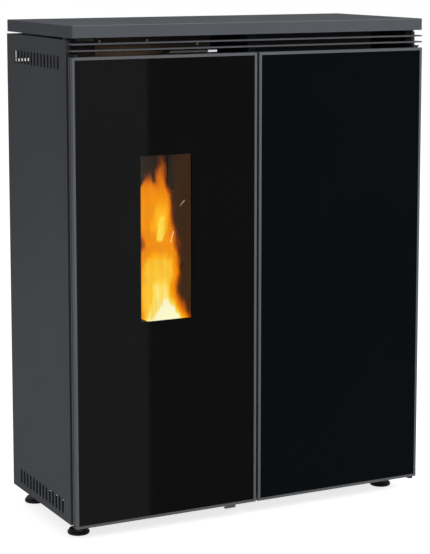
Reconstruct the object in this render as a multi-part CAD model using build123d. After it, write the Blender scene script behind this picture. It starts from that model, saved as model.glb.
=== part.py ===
from build123d import *
import math
import os

os.makedirs("parts", exist_ok=True)

# Pellet stove, in mm. x runs to the right, y to the back, z up from the floor.
# x = 0 is the middle of the stove, y = 0 the middle between door face and flue end.
# Heights near the lid hang from `height`, those near the fire stand on the smoke fan's room.

# ---------- overall
width = 820.0
height = 1056.0
cabinet_depth = 355.0
flue_reach = 45.0
half = width / 2
front = -(cabinet_depth + flue_reach) / 2
back = front + cabinet_depth
flue_end = back + flue_reach
sheet = 2.0
over = 1.0  # how far a cutter runs past the face that it opens
lid_edge = 25.0
lid_bottom = height - lid_edge
lid_underside = height - sheet
lid_corner_r = 4.0
lid_top_r = 1.8

# ---------- doors
door_bottom = 37.0
air_slot = 38.0
door_top = lid_bottom - air_slot
door_thick = 18.0
door_gap = 5.1
left_door_width = 413.45
door_back = front + door_thick
left_door_right = -half + left_door_width
right_door_left = left_door_right + door_gap
lip = 5.6
frame_wall = 3.0
frame_edge_r = 0.8
glass_seat = 6.0
seat_flange = 2.0
seat_width = 12.0
glass_thick = 5.0
glass_play = 0.2
glass_edge = 0.5
groove_front = 10.0
groove_height = 4.0
groove_depth = 1.5
hinge_inset_x = 10.0
hinge_inset_y = 9.0
hinge_pin_r = 3.0
hinge_pin_reach = 5.0
lug_half_width = 7.0
lug_height = 20.0
running_gap = 0.05
hinge_x = half - hinge_inset_x
hinge_y = front + hinge_inset_y
pull_width = 24.0
pull_inset = 44.45
pull_height = 9.0
pull_front_gap = 9.0
pull_depth = 8.0
pull_y = (front + pull_front_gap, front + pull_front_gap + pull_depth)
pull_wall = 2.5

# ---------- cabinet
body_gap = 12.0
body_front = door_back + body_gap
panel_bottom = door_bottom + 1.0
panel_lid_gap = 4.5
panel_top = lid_bottom - panel_lid_gap
panel_flange = 8.0
flange_gap = 0.5
post_size = 20.0
rear_post_size = 12.0
post_wall = 2.0
post_front = body_front + sheet
post_inner = half - sheet - post_size
cover_inside = back - sheet
pan_bottom = panel_bottom + sheet
pan_thick = 2.5
pan_top = pan_bottom + pan_thick
pan_rim = 12.0
partition_x = (left_door_right + right_door_left) / 2
partition_left = partition_x - sheet / 2
partition_right = partition_x + sheet / 2
partition_flange = 10.0
bracket_thick = 3.0
bracket_nose_r = 6.0
bracket_door_gap = 2.0
bracket_tab = 28.0
bracket_foot = 10.0
magnet_height = 40.0
magnet_door_gap = 0.3
magnet_low_inset = 163.0
magnet_high_inset = 193.0
screw_head_r = 4.0
face_screw_head_r = 2.4
screw_head_height = 2.2
screw_key_share = 0.4
cover_screw_low = 120.0
cover_screw_drop = 76.5
cover_screw_rows = 4
cover_screw_inset = 15.0

# ---------- side slots and rear vents
slot_count = 14
slot_pitch = 18.0
slot_width = 10.0
high_slot_length = 29.0
low_slot_length = 32.0
first_slot_inset = 72.8
first_slot_y = front + first_slot_inset
slot_low_inset = 29.8
slot_high_inset = 46.5
low_slot_row = (panel_bottom + slot_low_inset, low_slot_length)
high_slot_row = (panel_top - slot_high_inset, high_slot_length)
vent_count = 15
vent_length = 27.0
vent_height = 6.0
vent_edge = 7.5
vent_row_pitch = 20.0
vent_low_inset = 27.5
vent_high_inset = 57.0
corner_vent_length = 35.6
corner_slit_width = 7.0
corner_slit_height = 19.5
corner_slit_gap = 1.5
vent_power_gap = 40.0
pan_vent_count = 3
pan_vent_pitch = 37.2
pan_vent_width = 8.0
pan_vent_length = 12.0
pan_vent_inset = 49.0
pan_vent_first_y = front + 186.4

# ---------- warm-air slats
slat_thick = 3.0
slat_depth = 20.0
slat_edge_r = 1.0
slat_lower_drop = 27.0
slat_upper_drop = 14.0
slat_end_gap = 1.0

# ---------- feet
foot_r = 23.0
foot_step_r = 20.0
foot_disc = 6.0
foot_step = 11.0
foot_hex = 9.5
foot_hex_top = 19.0
stem_r = 5.0
stem_reach = 14.0
foot_inset_x = 39.5
foot_front_inset = 85.0
foot_rear_inset = 27.0
foot_x = half - foot_inset_x
foot_front_y = front + foot_front_inset
foot_rear_y = back - foot_rear_inset
boss_r = 9.0
boss_height = 13.5
boss_top = pan_top + boss_height
stem_top = boss_top + stem_reach

# ---------- smoke fan's room, under the firebox
smoke_fan_lift = 97.5
smoke_fan_z = pan_top + smoke_fan_lift
smoke_fan_r = 75.0
smoke_fan_wall = 2.5
smoke_eye_r = 34.0
smoke_wheel_r = 60.0
smoke_blades = 12
fan_depth = 60.0
fan_back_gap = 65.0
smoke_fan_y = (back - fan_back_gap - fan_depth, back - fan_back_gap)
fan_room = 21.0
fire_bottom = smoke_fan_z + smoke_fan_r + fan_room

# ---------- firebox
fire_side_gap = 75.0
fire_partition_gap = 81.0
fire_front_gap = 60.0
riser_depth = 86.0
riser_gap = 9.0
exchanger_lid_gap = 19.0
exchanger_height = 150.0
fire_left = -half + fire_side_gap
fire_right = partition_x - fire_partition_gap
fire_front = front + fire_front_gap
riser_back = back - riser_gap
fire_back = riser_back - riser_depth
exchanger_top = lid_bottom - exchanger_lid_gap
fire_top = exchanger_top - exchanger_height
fire_wall = 4.0
plate_left_lap = 23.0
plate_right_lap = 15.0
front_plate_left = fire_left - plate_left_lap
front_plate_right = fire_right + plate_right_lap
hearth_height = 142.0
hearth_bottom = fire_bottom + hearth_height
hearth_top = hearth_bottom + fire_wall
hearth_slot_inset = 9.0
hearth_slot_width = 90.0
hearth_slot_length = 130.0
hearth_slot_start = fire_front + 30.0
hearth_slot_y = (hearth_slot_start, hearth_slot_start + hearth_slot_length)
liner_thick = 12.0
liner_board = 124.0
liner_gap = 4.0
liner_foot = 14.0
liner_joint_rise = 20.0
liner_low = hearth_top + liner_foot
mouth_side = 25.0
mouth_low = 10.0
mouth_high = 26.0
fire_mouth_x = (fire_left + mouth_side, fire_right - mouth_side)
fire_mouth_z = (hearth_top + mouth_low, fire_top - mouth_high)

# ---------- burn pot
pot_inset_x = 86.0
pot_inset_y = 52.0
pot_x = fire_right - pot_inset_x
pot_y = fire_front + pot_inset_y
pot_width = 94.0
pot_depth = 80.0
pot_drop = 26.0
pot_height = 78.0
pot_bottom = hearth_bottom - pot_drop
pot_top = pot_bottom + pot_height
pot_wall = 4.0
pot_flange = 6.0
pot_flange_thick = 3.0
pot_clearance = 1.0
holder_wall = 3.0
holder_rim = 5.0
holder_rim_thick = 3.0
holder_skirt_bottom = pot_bottom - 7.0
holder_top = hearth_top + holder_rim_thick
pot_hole_r = 4.0
pot_hole_pitch_x = 16.2
pot_hole_pitch_y = 18.0
side_hole_r = 3.0
side_hole_pitch = 18.0
side_hole_drop = 22.0
igniter_r = 8.0
igniter_lift = 13.0
igniter_z = pot_bottom + igniter_lift
igniter_pot_gap = 0.5
igniter_tail = 24.0
igniter_collar = 4.0
igniter_collar_thick = 6.0

# ---------- ash drawer
drawer_side = 45.0
drawer_lift = 20.0
drawer_height = 74.0
drawer_x = (fire_left + drawer_side, fire_right - drawer_side)
drawer_z = (fire_bottom + drawer_lift, fire_bottom + drawer_lift + drawer_height)
drawer_back_gap = 16.0
drawer_back = fire_back - fire_wall - drawer_back_gap
drawer_wall = 2.0
drawer_lip = 7.0
drawer_front_gap = 0.3
drawer_front_thick = 6.0
drawer_play = 1.0
runner_width = 10.0
runner_inset = 4.0
handle_bar_r = 4.0
handle_stub_r = 3.0
handle_reach = 24.0
handle_half = 50.0
handle_stub_x = 40.0

# ---------- fire door
casting_thick = 14.0
casting_corner_r = 8.0
casting_edge_r = 2.0
rope_thick = 6.0
rope_gap = 0.2
rope_width = 10.0
rope_inset = 4.0
door_lap_left = 3.0
door_lap_right = 1.0
door_lap_low = 16.0
door_top_gap = 6.0
fire_door_x = (fire_left - door_lap_left, fire_right + door_lap_right)
fire_door_z = (hearth_bottom - door_lap_low, fire_top - door_top_gap)
casting_back = fire_front - rope_thick
casting_front = casting_back - casting_thick
fire_glass_thick = 5.0
fire_glass_lap = 8.0
window_side = 37.0
window_low = 22.0
window_high = 38.0
window_corner_r = 6.0
fire_window_x = (fire_left + window_side, fire_right - window_side)
fire_window_z = (hearth_top + window_low, fire_top - window_high)
clip_width = 12.0
clip_hold = 7.0
clip_height = 18.0
clip_thick = 2.5
clip_inset = 26.0
fire_hinge_inset = 12.0
fire_hinge_x = fire_left - fire_hinge_inset
fire_hinge_y = casting_front + casting_thick / 2
knuckle_r = 7.0
knuckle_pin_r = 4.0
knuckle_height = 40.0
knuckle_low_lift = 58.0
knuckle_high_drop = 96.0
knuckle_low = fire_door_z[0] + knuckle_low_lift
knuckle_high = fire_door_z[1] - knuckle_high_drop
knuckle_spans = ((knuckle_low, knuckle_low + knuckle_height), (knuckle_high, knuckle_high + knuckle_height))
knuckle_arm_half = 5.0
ear_thick = 8.0
ear_gap = 0.5
latch_inset = 13.0
latch_lift = 238.0
latch_x = fire_right - latch_inset
latch_z = fire_door_z[0] + latch_lift
latch_shaft_r = 4.0
latch_collar_r = 9.0
latch_cam_r = 13.0
latch_cam_offset = 5.0
latch_cam_gap = 0.4
latch_cam_thick = 5.6
latch_standoff = 8.0
lever_width = 12.0
lever_thick = 8.0
lever_length = 110.0
lever_corner_r = 5.5

# ---------- exchanger
exchanger_wall = 3.0
exchanger_face_gap = 3.0
exchanger_face_top = lid_bottom - exchanger_face_gap
face_screw_drop = 7.5
face_screw_inset = 10.0
face_screw_pitch = 105.0
low_screw_inset = 31.0
low_screw_drop = 1.0
first_face_screw_x = fire_left + face_screw_inset
face_screws = (
    (first_face_screw_x, exchanger_face_top - face_screw_drop),
    (first_face_screw_x + face_screw_pitch, exchanger_face_top - face_screw_drop),
    (fire_right - low_screw_inset, exchanger_top - low_screw_drop),
)
tube_r = 14.0
tube_bore_r = 12.0
tube_count = 6
tube_inset = 25.0
tube_low = 43.0
tube_row_pitch = 45.0
tube_first_x = fire_left + tube_inset
tube_pitch = (fire_right - fire_left - 2 * tube_inset) / (tube_count - 1)
tube_rows = (fire_top + tube_low, fire_top + tube_low + tube_row_pitch)
scraper_drop = 13.5
scraper_z = exchanger_top - scraper_drop
scraper_rod_r = 3.0
scraper_rod_inset = 12.0
scraper_bar_half = 1.8
scraper_block_lap = 0.3
scraper_bar_length = 82.0
scraper_block_length = 24.0
scraper_block_inset = 11.0
scraper_block_right = fire_right - scraper_block_inset
scraper_block_x = (scraper_block_right - scraper_block_length, scraper_block_right)
scraper_bar_x = (scraper_block_x[0] - scraper_bar_length, scraper_block_x[0])
scraper_front_gap = 10.0
scraper_bar_depth = 8.0
scraper_bar_front = front + scraper_front_gap
scraper_bar_y = (scraper_bar_front, scraper_bar_front + scraper_bar_depth)
scraper_plate_back_gap = 30.0
scraper_plate_thick = 3.0
scraper_plate_back = fire_back - scraper_plate_back_gap
scraper_plate_y = (scraper_plate_back - scraper_plate_thick, scraper_plate_back)
scraper_side_play = 3.0
scraper_floor_gap = 6.0
scraper_tube_play = 0.8

# ---------- pellet feed: the auger axis falls at 45 degrees to the right
auger_front_gap = 80.0
auger_y = fire_front + auger_front_gap
auger_outlet_z = 585.0
auger_axis_sum = auger_outlet_z + fire_right
auger_tube_r = 30.0
auger_bore_r = 28.0
auger_low_reach = 194.0
auger_low_x = partition_x + auger_low_reach
auger_shaft_r = 8.0
auger_shaft_tail = 20.0
auger_flight_r = 26.0
auger_pitch = 45.0
flight_thick = 3.0
flight_start = 40.0
flight_short = 60.0
auger_end_plate = 4.0
gearbox_size = (64.0, 84.0, 30.0)
auger_motor_r = 30.0
auger_motor_length = 56.0
chute_reach = 34.0
chute_end_x = fire_right - chute_reach
chute_wall = 3.0
chute_side = 25.0

# ---------- hopper
hopper_side_gap = 80.0
hopper_front_gap = 20.0
hopper_back_gap = 15.0
hopper_x = (partition_right, half - hopper_side_gap)
hopper_y = (fire_front + hopper_front_gap, back - hopper_back_gap)
hopper_wall = 2.0
neck_inset = 94.0
neck_length = 80.0
neck_half_depth = 26.0
neck_x = (partition_x + neck_inset, partition_x + neck_inset + neck_length)
neck_y = (auger_y - neck_half_depth, auger_y + neck_half_depth)
neck_top = auger_axis_sum - neck_x[0] + auger_tube_r
hopper_taper = 180.0
hopper_shoulder = neck_top + hopper_taper
guard_drop = 43.0
guard_thick = 3.0
guard_z = (lid_bottom - guard_drop - guard_thick, lid_bottom - guard_drop)
guard_bars = 5
guard_bar_width = 6.0

# ---------- flush flaps in the top cover
flap_gap = 1.5
flap_length = 150.0
flap_hinge_inset = 35.0
flap_hinge_y = back - flap_hinge_inset
flap_front_y = flap_hinge_y - flap_length
flap_barrel_r = 2.5
flap_pin_r = 1.5
flap_pin_reach = 7.0
flap_ledge = 6.0
flap_ring = 12.0
flap_ring_depth = 7.0
flap_ring_bottom = height - flap_ring_depth
flap_axis_z = height - flap_barrel_r
notch_width = 70.0
notch_depth = 12.0
control_flap_inset = 85.0
control_flap_width = 170.0
hopper_lid_left = 16.0
hopper_lid_right = 67.0
control_flap_x = (-half + control_flap_inset, -half + control_flap_inset + control_flap_width)
hopper_lid_x = (hopper_x[0] + hopper_lid_left, hopper_x[1] - hopper_lid_right)

# ---------- smoke path
smoke_fan_inset = 95.0
smoke_fan_x = fire_right - smoke_fan_inset
fan_outlet_half = 42.0
fan_outlet_reach = 155.0
fan_outlet_right = smoke_fan_x + fan_outlet_reach
flue_x = fan_outlet_right - fan_outlet_half
flue_z = smoke_fan_z + smoke_fan_r - fan_outlet_half
fan_outlet_z = (flue_z - fan_outlet_half, flue_z + fan_outlet_half)
fan_foot_half = 40.0
fan_foot_inset = 6.0
fan_foot_drop = 50.0
fan_foot_top = smoke_fan_z - fan_foot_drop
duct_gap = 4.0
duct_width = 40.0
duct_depth = 48.0
duct_collar = 2.0
duct_wall = 2.0
duct_foot_half = 42.0
duct_x = (fire_right + duct_gap, fire_right + duct_gap + duct_width)
duct_y = (smoke_fan_y[0] - duct_collar - duct_depth, smoke_fan_y[0] - duct_collar)
duct_top_drop = 12.0
duct_top = exchanger_top - duct_top_drop
duct_foot_x = smoke_fan_x - duct_foot_half
duct_foot_z = (smoke_fan_z - duct_foot_half, smoke_fan_z + duct_foot_half)
port_inset = 4.0
port_y = (duct_y[0] + port_inset, duct_y[1] - port_inset)
port_height = 56.0
port_z = (duct_top - port_inset - port_height, duct_top - port_inset)
flue_r = 40.0
flue_bore_r = 38.0
flue_flange = 10.0
inlet_inset = 55.0
inlet_lift = 64.0
inlet_x = fire_left + inlet_inset
inlet_z = fire_bottom + inlet_lift
inlet_r = 25.0
inlet_bore_r = 23.0
inlet_flange = 8.0
inlet_reach = 28.0
inlet_end = back + inlet_reach
motor_shaft_r = 4.0
smoke_motor_r = 38.0
smoke_motor_length = 46.0
smoke_shaft_tail = 40.0
wheel_front_play = 14.0
wheel_back_play = 8.0
wheel_disc = 2.0
wheel_hub_r = 10.0
wheel_hub_inset = 10.0
shaft_end_gap = 1.0

# ---------- room air path
riser_side = 10.0
riser_x = (fire_left + riser_side, fire_right - riser_side)
riser_wall = 1.5
room_fan_lift = 48.0
room_fan_height = 100.0
room_fan_z = (hearth_top + room_fan_lift, hearth_top + room_fan_lift + room_fan_height)
riser_top_gap = 2.0
riser_z = (room_fan_z[1], exchanger_top - riser_top_gap)
room_fan_wall = 2.0
room_drum_r = 30.0
room_drum_lift = 52.0
room_drum_y = (fire_back + riser_back) / 2
room_drum_z = room_fan_z[0] + room_drum_lift
room_drum_play = 12.0
room_disc = 2.0
room_blades = 24
room_blade_width = 6.0
room_blade_thick = 1.0
room_lip_gap = 3.0
room_lip_lift = 20.0
room_shaft_tail = 30.0
room_motor_r = 24.0
room_motor_length = 42.0

# ---------- controls
board_low_z = 120.0
board_height = 200.0
board_front_y = front + 100.0
board_length = 160.0
board_z = (board_low_z, board_low_z + board_height)
board_y = (board_front_y, board_front_y + board_length)
board_wall_gap = 10.0
board_thick = 2.0
board_post_r = 3.0
board_post_inset = 8.0
transformer_size = (22.0, 35.0, 40.0)
terminal_size = (12.0, 25.0, 14.0)
relay_size = (4.0, 50.0, 9.0)
board_rows = 5
board_row_pitch = 20.0
board_row_start = 85.0
switch_back_gap = 75.0
switch_y = back - switch_back_gap
switch_z = 260.0
switch_r = 24.0
switch_thick = 22.0
hose_tail_r = 4.0
hose_tail = 18.0
hose_tail_lift = 10.0
power_inset = 70.0
power_x = half - power_inset
power_z = 110.0
power_half_width = 14.0
power_half_height = 40.0
power_depth = 28.0
power_flange = 2.0
socket_wall = 4.0
socket_height = 30.0
socket_depth = 16.0
socket_bottom = 5.0
pin_pitch = 5.5
pin_half = 1.0
pin_half_height = 2.0
pin_length = 13.0
middle_pin_lift = 4.0
outer_pin_drop = 2.0
rocker_lift = 20.0
rocker_z = power_z + rocker_lift
rocker_r = 10.5
rocker_half = 9.0
rocker_play = 0.5
rocker_axis_depth = 4.0
rocker_pin_r = 2.0
rocker_pin_reach = 2.5
thermostat_inset = 110.0
thermostat_x = half - thermostat_inset
thermostat_z = 180.0
thermostat_r = 14.0
thermostat_depth = 22.0
button_r = 4.0
button_reach = 4.0
button_tail = 10.0
button_end_gap = 4.0
tray_grow = 4.0
tray_wall = 6.0
tray_rear_gap = 6.0
tray_floor_drop = 7.0
tray_floor_thick = 8.0
display_size = (64.0, 32.0, 3.0)
display_front = 80.0
key_r = 7.0
key_pitch = 26.0
key_front = 24.0
key_lift = 2.0
key_columns = 5
key_rows = 2


def block(x, y, z):
    """Box between the two values given for each axis."""
    size = [abs(pair[1] - pair[0]) for pair in (x, y, z)]
    middle = [(pair[0] + pair[1]) / 2 for pair in (x, y, z)]
    return Pos(*middle) * Box(*size)


def grown(pair, by):
    """The span `pair` made longer by `by` at both ends."""
    return (min(pair) - by, max(pair) + by)


def rod_x(radius, x, y, z):
    return Pos((x[0] + x[1]) / 2, y, z) * Rot(0, 90, 0) * Cylinder(radius, abs(x[1] - x[0]))


def rod_y(radius, x, y, z):
    return Pos(x, (y[0] + y[1]) / 2, z) * Rot(90, 0, 0) * Cylinder(radius, abs(y[1] - y[0]))


def rod_z(radius, x, y, z):
    return Pos(x, y, (z[0] + z[1]) / 2) * Cylinder(radius, abs(z[1] - z[0]))


def signed(side, low, high):
    """Span from low to high on the right (side 1) or mirrored to the left (side -1)."""
    return (side * low, side * high)


def auger_place(distance):
    """Location on the auger axis, `distance` down from the firebox wall, local z down the axis."""
    step = distance / math.sqrt(2)
    x = fire_right + step
    return Pos(x, auger_y, auger_axis_sum - x) * Rot(0, 135, 0)


def auger_length_to(x):
    return (x - fire_right) * math.sqrt(2)


def save(name, shape):
    shape.label = name
    export_step(shape, f"parts/{name}.step")


# ---------- cabinet

def base_pan():
    pan = block((-half + sheet, half - sheet), (post_front, cover_inside), (pan_bottom, pan_top))
    for y in ((post_front, post_front + sheet), (cover_inside - sheet, cover_inside)):
        pan += block((-post_inner, post_inner), y, (pan_top, pan_top + pan_rim))
    for x, y in foot_places():
        pan += rod_z(boss_r, x, y, (pan_top, boss_top))
    for x, y in foot_places():
        pan -= rod_z(stem_r + running_gap, x, y, (pan_bottom - over, boss_top + over))
    return pan - pan_vents()


def pan_vents():
    """Cutter for the short vents beside each side panel."""
    middle_x = half - pan_vent_inset
    vents = []
    for index in range(pan_vent_count):
        y = pan_vent_first_y + index * pan_vent_pitch
        y_span = (y - pan_vent_length / 2, y + pan_vent_length / 2)
        for side in (-1, 1):
            x = signed(side, middle_x - pan_vent_width / 2, middle_x + pan_vent_width / 2)
            vents.append(block(x, y_span, grown((pan_bottom, pan_top), over)))
    return Compound(children=vents)


def foot_places():
    return [(x, y) for y in (foot_front_y, foot_rear_y) for x in (-foot_x, foot_x)]


def foot(x, y):
    disc = rod_z(foot_r, x, y, (0, foot_disc)) + rod_z(foot_step_r, x, y, (foot_disc, foot_step))
    nut = Pos(x, y, foot_step) * extrude(RegularPolygon(foot_hex, 6), foot_hex_top - foot_step)
    stem = rod_z(stem_r, x, y, (foot_hex_top, stem_top))
    return disc + nut + stem


def corner_posts():
    """Two front posts up to the lid, and two thinner rear posts up to the panels' top."""
    posts = []
    rear_y = cover_inside - rear_post_size
    for y, size, top in ((post_front, post_size, lid_underside), (rear_y, rear_post_size, panel_top)):
        for side in (-1, 1):
            x = signed(side, half - sheet - size, half - sheet)
            outside = block(x, (y, y + size), (pan_top, top))
            hole_x = grown(x, -post_wall)
            hole_y = grown((y, y + size), -post_wall)
            posts.append(outside - block(hole_x, hole_y, (pan_top, top)))
    return Compound(children=posts)


def partition():
    x = (partition_left, partition_right)
    wall = block(x, (post_front, cover_inside), (pan_top + pan_rim, lid_underside))
    flange_x = (partition_x - partition_flange, partition_x + partition_flange)
    wall += block(flange_x, (body_front, post_front), (pan_top + pan_rim, lid_bottom))
    between_rims = (post_front + sheet, cover_inside - sheet)
    wall += block(x, between_rims, (pan_top, pan_top + pan_rim))
    return wall - auger_place(0) * Cylinder(auger_tube_r, height)


def side_slots(side):
    """Cutter for one panel's upright round-ended slots; the hopper side has the low row only."""
    cutter = None
    start = -half - over if side < 0 else half - sheet - over
    rows = (low_slot_row, high_slot_row) if side < 0 else (low_slot_row,)
    for z, slot_length in rows:
        for index in range(slot_count):
            place = Plane.YZ.offset(start) * Pos(first_slot_y + index * slot_pitch, z) * Rot(0, 0, 90)
            slot = extrude(place * SlotOverall(slot_length, slot_width), sheet + 2 * over)
            cutter = slot if cutter is None else cutter + slot
    return cutter


def side_panel(side):
    z = (panel_bottom, panel_top)
    panel = block(signed(side, half - sheet, half), (body_front, back), z)
    for y in ((body_front, body_front + sheet), (back - sheet, back)):
        panel += block(signed(side, half - panel_flange, half), y, z)
    return panel - side_slots(side)


def rear_cover():
    edge = half - panel_flange - flange_gap
    cover = block((-edge, edge), (cover_inside, back), (pan_bottom + sheet, panel_top))
    through = grown((cover_inside, back), over)
    cover -= rod_y(flue_r + over, flue_x, through, flue_z)
    cover -= rod_y(inlet_r + over, inlet_x, through, inlet_z)
    cover -= rod_y(thermostat_r / 2, thermostat_x, through, thermostat_z)
    cover -= block(power_span_x(), through, power_span_z())
    return cover - rear_vents(edge, through)


def rear_vents(edge, through):
    """Cutter for flat vents: two rows low down, apart from the power inlet, and two corner vents.

    An upright slit stands over the outer end of each corner vent.
    """
    low = pan_top + vent_low_inset
    outer = edge - vent_edge
    pitch = (2 * outer - vent_length) / (vent_count - 1)
    vents = []
    for z in (low, low + vent_row_pitch):
        for index in range(vent_count):
            x = -outer + index * pitch
            if abs(x + vent_length / 2 - power_x) > vent_power_gap:
                vents.append(block((x, x + vent_length), through, (z - vent_height / 2, z + vent_height / 2)))
    high = panel_top - vent_high_inset
    high_z = (high - vent_height / 2, high + vent_height / 2)
    slit_bottom = high_z[1] + corner_slit_gap
    for side in (-1, 1):
        vents.append(block(signed(side, outer - corner_vent_length, outer), through, high_z))
        slit_x = signed(side, outer - corner_slit_width, outer)
        vents.append(block(slit_x, through, (slit_bottom, slit_bottom + corner_slit_height)))
    return Compound(children=vents)


def power_span_x():
    return (power_x - power_half_width, power_x + power_half_width)


def power_span_z():
    return (power_z - power_half_height, power_z + power_half_height)


def flap_ring_shape(x):
    """Ledge under the top plate, around a flap opening, with the hinge bearings in it."""
    y = (flap_front_y, flap_hinge_y)
    z = (flap_ring_bottom, lid_underside)
    ring = block(grown(x, flap_ring), grown(y, flap_ring), z)
    mouth_y = (y[0] + flap_ledge, y[1] - 2 * flap_barrel_r)
    ring -= block(grown(x, -flap_ledge), mouth_y, grown(z, over))
    barrel_y = (y[1] - 2 * flap_barrel_r, y[1] + 2 * flap_barrel_r)
    return ring - block(grown(x, flap_gap), barrel_y, grown(z, over))


def top_cover():
    outside = block((-half, half), (front, back), (lid_bottom, height))
    outside = fillet(outside.edges().filter_by(Axis.Z), lid_corner_r)
    outside = fillet(outside.faces().sort_by(Axis.Z)[-1].edges(), lid_top_r)
    inside_x = (-half + sheet, half - sheet)
    lid = outside - block(inside_x, (front + sheet, back - sheet), (lid_bottom, lid_underside))
    for x in (control_flap_x, hopper_lid_x):
        lid += flap_ring_shape(x)
    for x in (control_flap_x, hopper_lid_x):
        hole_y = (flap_front_y - flap_gap, flap_hinge_y + flap_barrel_r + flap_gap)
        lid -= block(grown(x, flap_gap), hole_y, (lid_underside, height + over))
        bearing_x = grown(x, flap_gap + flap_pin_reach + over)
        lid -= rod_x(flap_pin_r + running_gap, bearing_x, flap_hinge_y, flap_axis_z)
    return lid


def top_flap(x):
    """Flush flap: plate with a finger notch and a rolled hinge edge with end pins."""
    flap = block(x, (flap_front_y, flap_hinge_y), (lid_underside, height))
    middle = (x[0] + x[1]) / 2
    notch_x = (middle - notch_width / 2, middle + notch_width / 2)
    notch_y = (flap_front_y - over, flap_front_y + notch_depth)
    flap -= block(notch_x, notch_y, grown((lid_underside, height), over))
    flap += rod_x(flap_barrel_r, x, flap_hinge_y, flap_axis_z)
    return flap + rod_x(flap_pin_r, grown(x, flap_gap + flap_pin_reach), flap_hinge_y, flap_axis_z)


def slat(drop):
    bottom = lid_bottom - drop
    z = (bottom, bottom + slat_thick)
    end = half - slat_end_gap
    plate = block((-end, end), (front, front + slat_depth), z)
    plate = fillet(plate.faces().sort_by(Axis.Y)[0].edges().filter_by(Axis.X), slat_edge_r)
    tab_end = half - panel_flange - flange_gap
    for side in (-1, 1):
        plate += block(signed(side, post_inner, tab_end), (front + slat_depth, post_front), z)
    tab_x = (partition_x - partition_flange, partition_x + partition_flange)
    return plate + block(tab_x, (front + slat_depth, body_front), z)


def hinge_brackets():
    """Four brackets on the front posts; each holds one door pin in a pointed nose."""
    low = door_bottom - bracket_door_gap
    high = door_top + bracket_door_gap
    lower = (low - bracket_thick, (low, pan_top + pan_rim + bracket_foot))
    upper = (high, (high - bracket_tab, high))
    return Compound(children=[hinge_bracket(side, *spans) for side in (-1, 1) for spans in (lower, upper)])


def hinge_bracket(side, bottom, tab_z):
    inner = side * (post_inner + over)
    outer = side * (half - panel_flange - flange_gap)
    corners = [
        (inner, post_front),
        (side * (hinge_x - bracket_nose_r), hinge_y),
        (side * (hinge_x + bracket_nose_r), hinge_y),
        (outer, post_front),
    ]
    bracket = Pos(side * hinge_x, hinge_y, bottom) * extrude(Circle(bracket_nose_r), bracket_thick)
    bracket += Pos(0, 0, bottom) * extrude(Polygon(*corners[::side], align=None), bracket_thick)
    bracket += block((inner, outer), (post_front - bracket_thick, post_front), tab_z)
    hole_z = grown((bottom, bottom + bracket_thick), over)
    return bracket - rod_z(hinge_pin_r + running_gap, side * hinge_x, hinge_y, hole_z)


def door_magnets():
    """Catches on the partition flange: one pair behind the edge of each outer door."""
    y = (door_back + magnet_door_gap, body_front)
    low = door_bottom + magnet_low_inset
    high = door_top - magnet_high_inset
    left = (partition_x - partition_flange, left_door_right - over)
    right = (right_door_left + over, partition_x + partition_flange)
    places = [(x, z) for x in (left, right) for z in (low, high)]
    return Compound(children=[block(x, y, (z, z + magnet_height)) for x, z in places])


def screw_head(radius, x, z, seat_y, outward):
    """Button head on the face at `seat_y`, with a key hole; `outward` is the way that it faces."""
    top = seat_y + outward * screw_head_height
    head = rod_y(radius, x, (seat_y, top), z)
    key = (seat_y + outward * screw_head_height / 2, top + outward * over)
    return head - rod_y(screw_key_share * radius, x, key, z)


def screws():
    """Button heads: the rear cover's screws and three on the exchanger front."""
    cover_x = half - cover_screw_inset
    spacing = (panel_top - cover_screw_drop - cover_screw_low) / (cover_screw_rows - 1)
    heads = [screw_head(face_screw_head_r, x, z, fire_front, -1) for x, z in face_screws]
    for row in range(cover_screw_rows):
        for x in (-cover_x, cover_x):
            heads.append(screw_head(screw_head_r, x, cover_screw_low + row * spacing, back, 1))
    return Compound(children=heads)


# ---------- outer doors

def door_frame(x, hinge_side):
    z = (door_bottom, door_top)
    y = (front, door_back)
    seat_back = front + glass_seat
    flange_back = seat_back + seat_flange
    frame = block(x, y, z)
    frame = fillet(frame.faces().sort_by(Axis.Y)[0].edges(), frame_edge_r)
    frame -= block(grown(x, -lip), (front - over, seat_back), grown(z, -lip))
    frame -= block(grown(x, -lip - seat_width), (front, door_back + over), grown(z, -lip - seat_width))
    frame -= block(grown(x, -frame_wall), (flange_back, door_back + over), grown(z, -frame_wall))
    groove_y = (front + groove_front, front + groove_front + groove_height)
    ring = block(grown(x, over), groove_y, grown(z, over))
    frame -= ring - block(grown(x, -groove_depth), groove_y, grown(z, -groove_depth))
    pin_x = hinge_side * hinge_x
    lug_x = (pin_x - lug_half_width, pin_x + lug_half_width)
    lug_y = (flange_back, door_back - sheet)
    for low, high, pin in (
        (z[0], z[0] + lug_height, (z[0] - hinge_pin_reach, z[0] + lug_height)),
        (z[1] - lug_height, z[1], (z[1] - lug_height, z[1] + hinge_pin_reach)),
    ):
        frame += block(lug_x, lug_y, (low + frame_wall, high - frame_wall))
        frame += rod_z(hinge_pin_r, pin_x, hinge_y, pin)
    return frame


def door_glass(x):
    seat_back = front + glass_seat
    pane_x = grown(x, -lip - glass_play)
    pane_z = grown((door_bottom, door_top), -lip - glass_play)
    pane = block(pane_x, (seat_back - glass_thick, seat_back), pane_z)
    return chamfer(pane.faces().sort_by(Axis.Y)[0].edges(), glass_edge)


def door_pull():
    """Bent finger pull under the free corner of the left door."""
    right = left_door_right - pull_inset
    x = (right - pull_width, right)
    z = (door_bottom - pull_height, door_bottom)
    tab = block(x, pull_y, z)
    tab -= block(grown(x, over), (pull_y[0] + pull_wall, pull_y[1] + over), grown(z, -pull_wall))
    return fillet(tab.faces().sort_by(Axis.Z)[0].edges().filter_by(Axis.X), over)


# ---------- firebox and fire door

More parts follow.
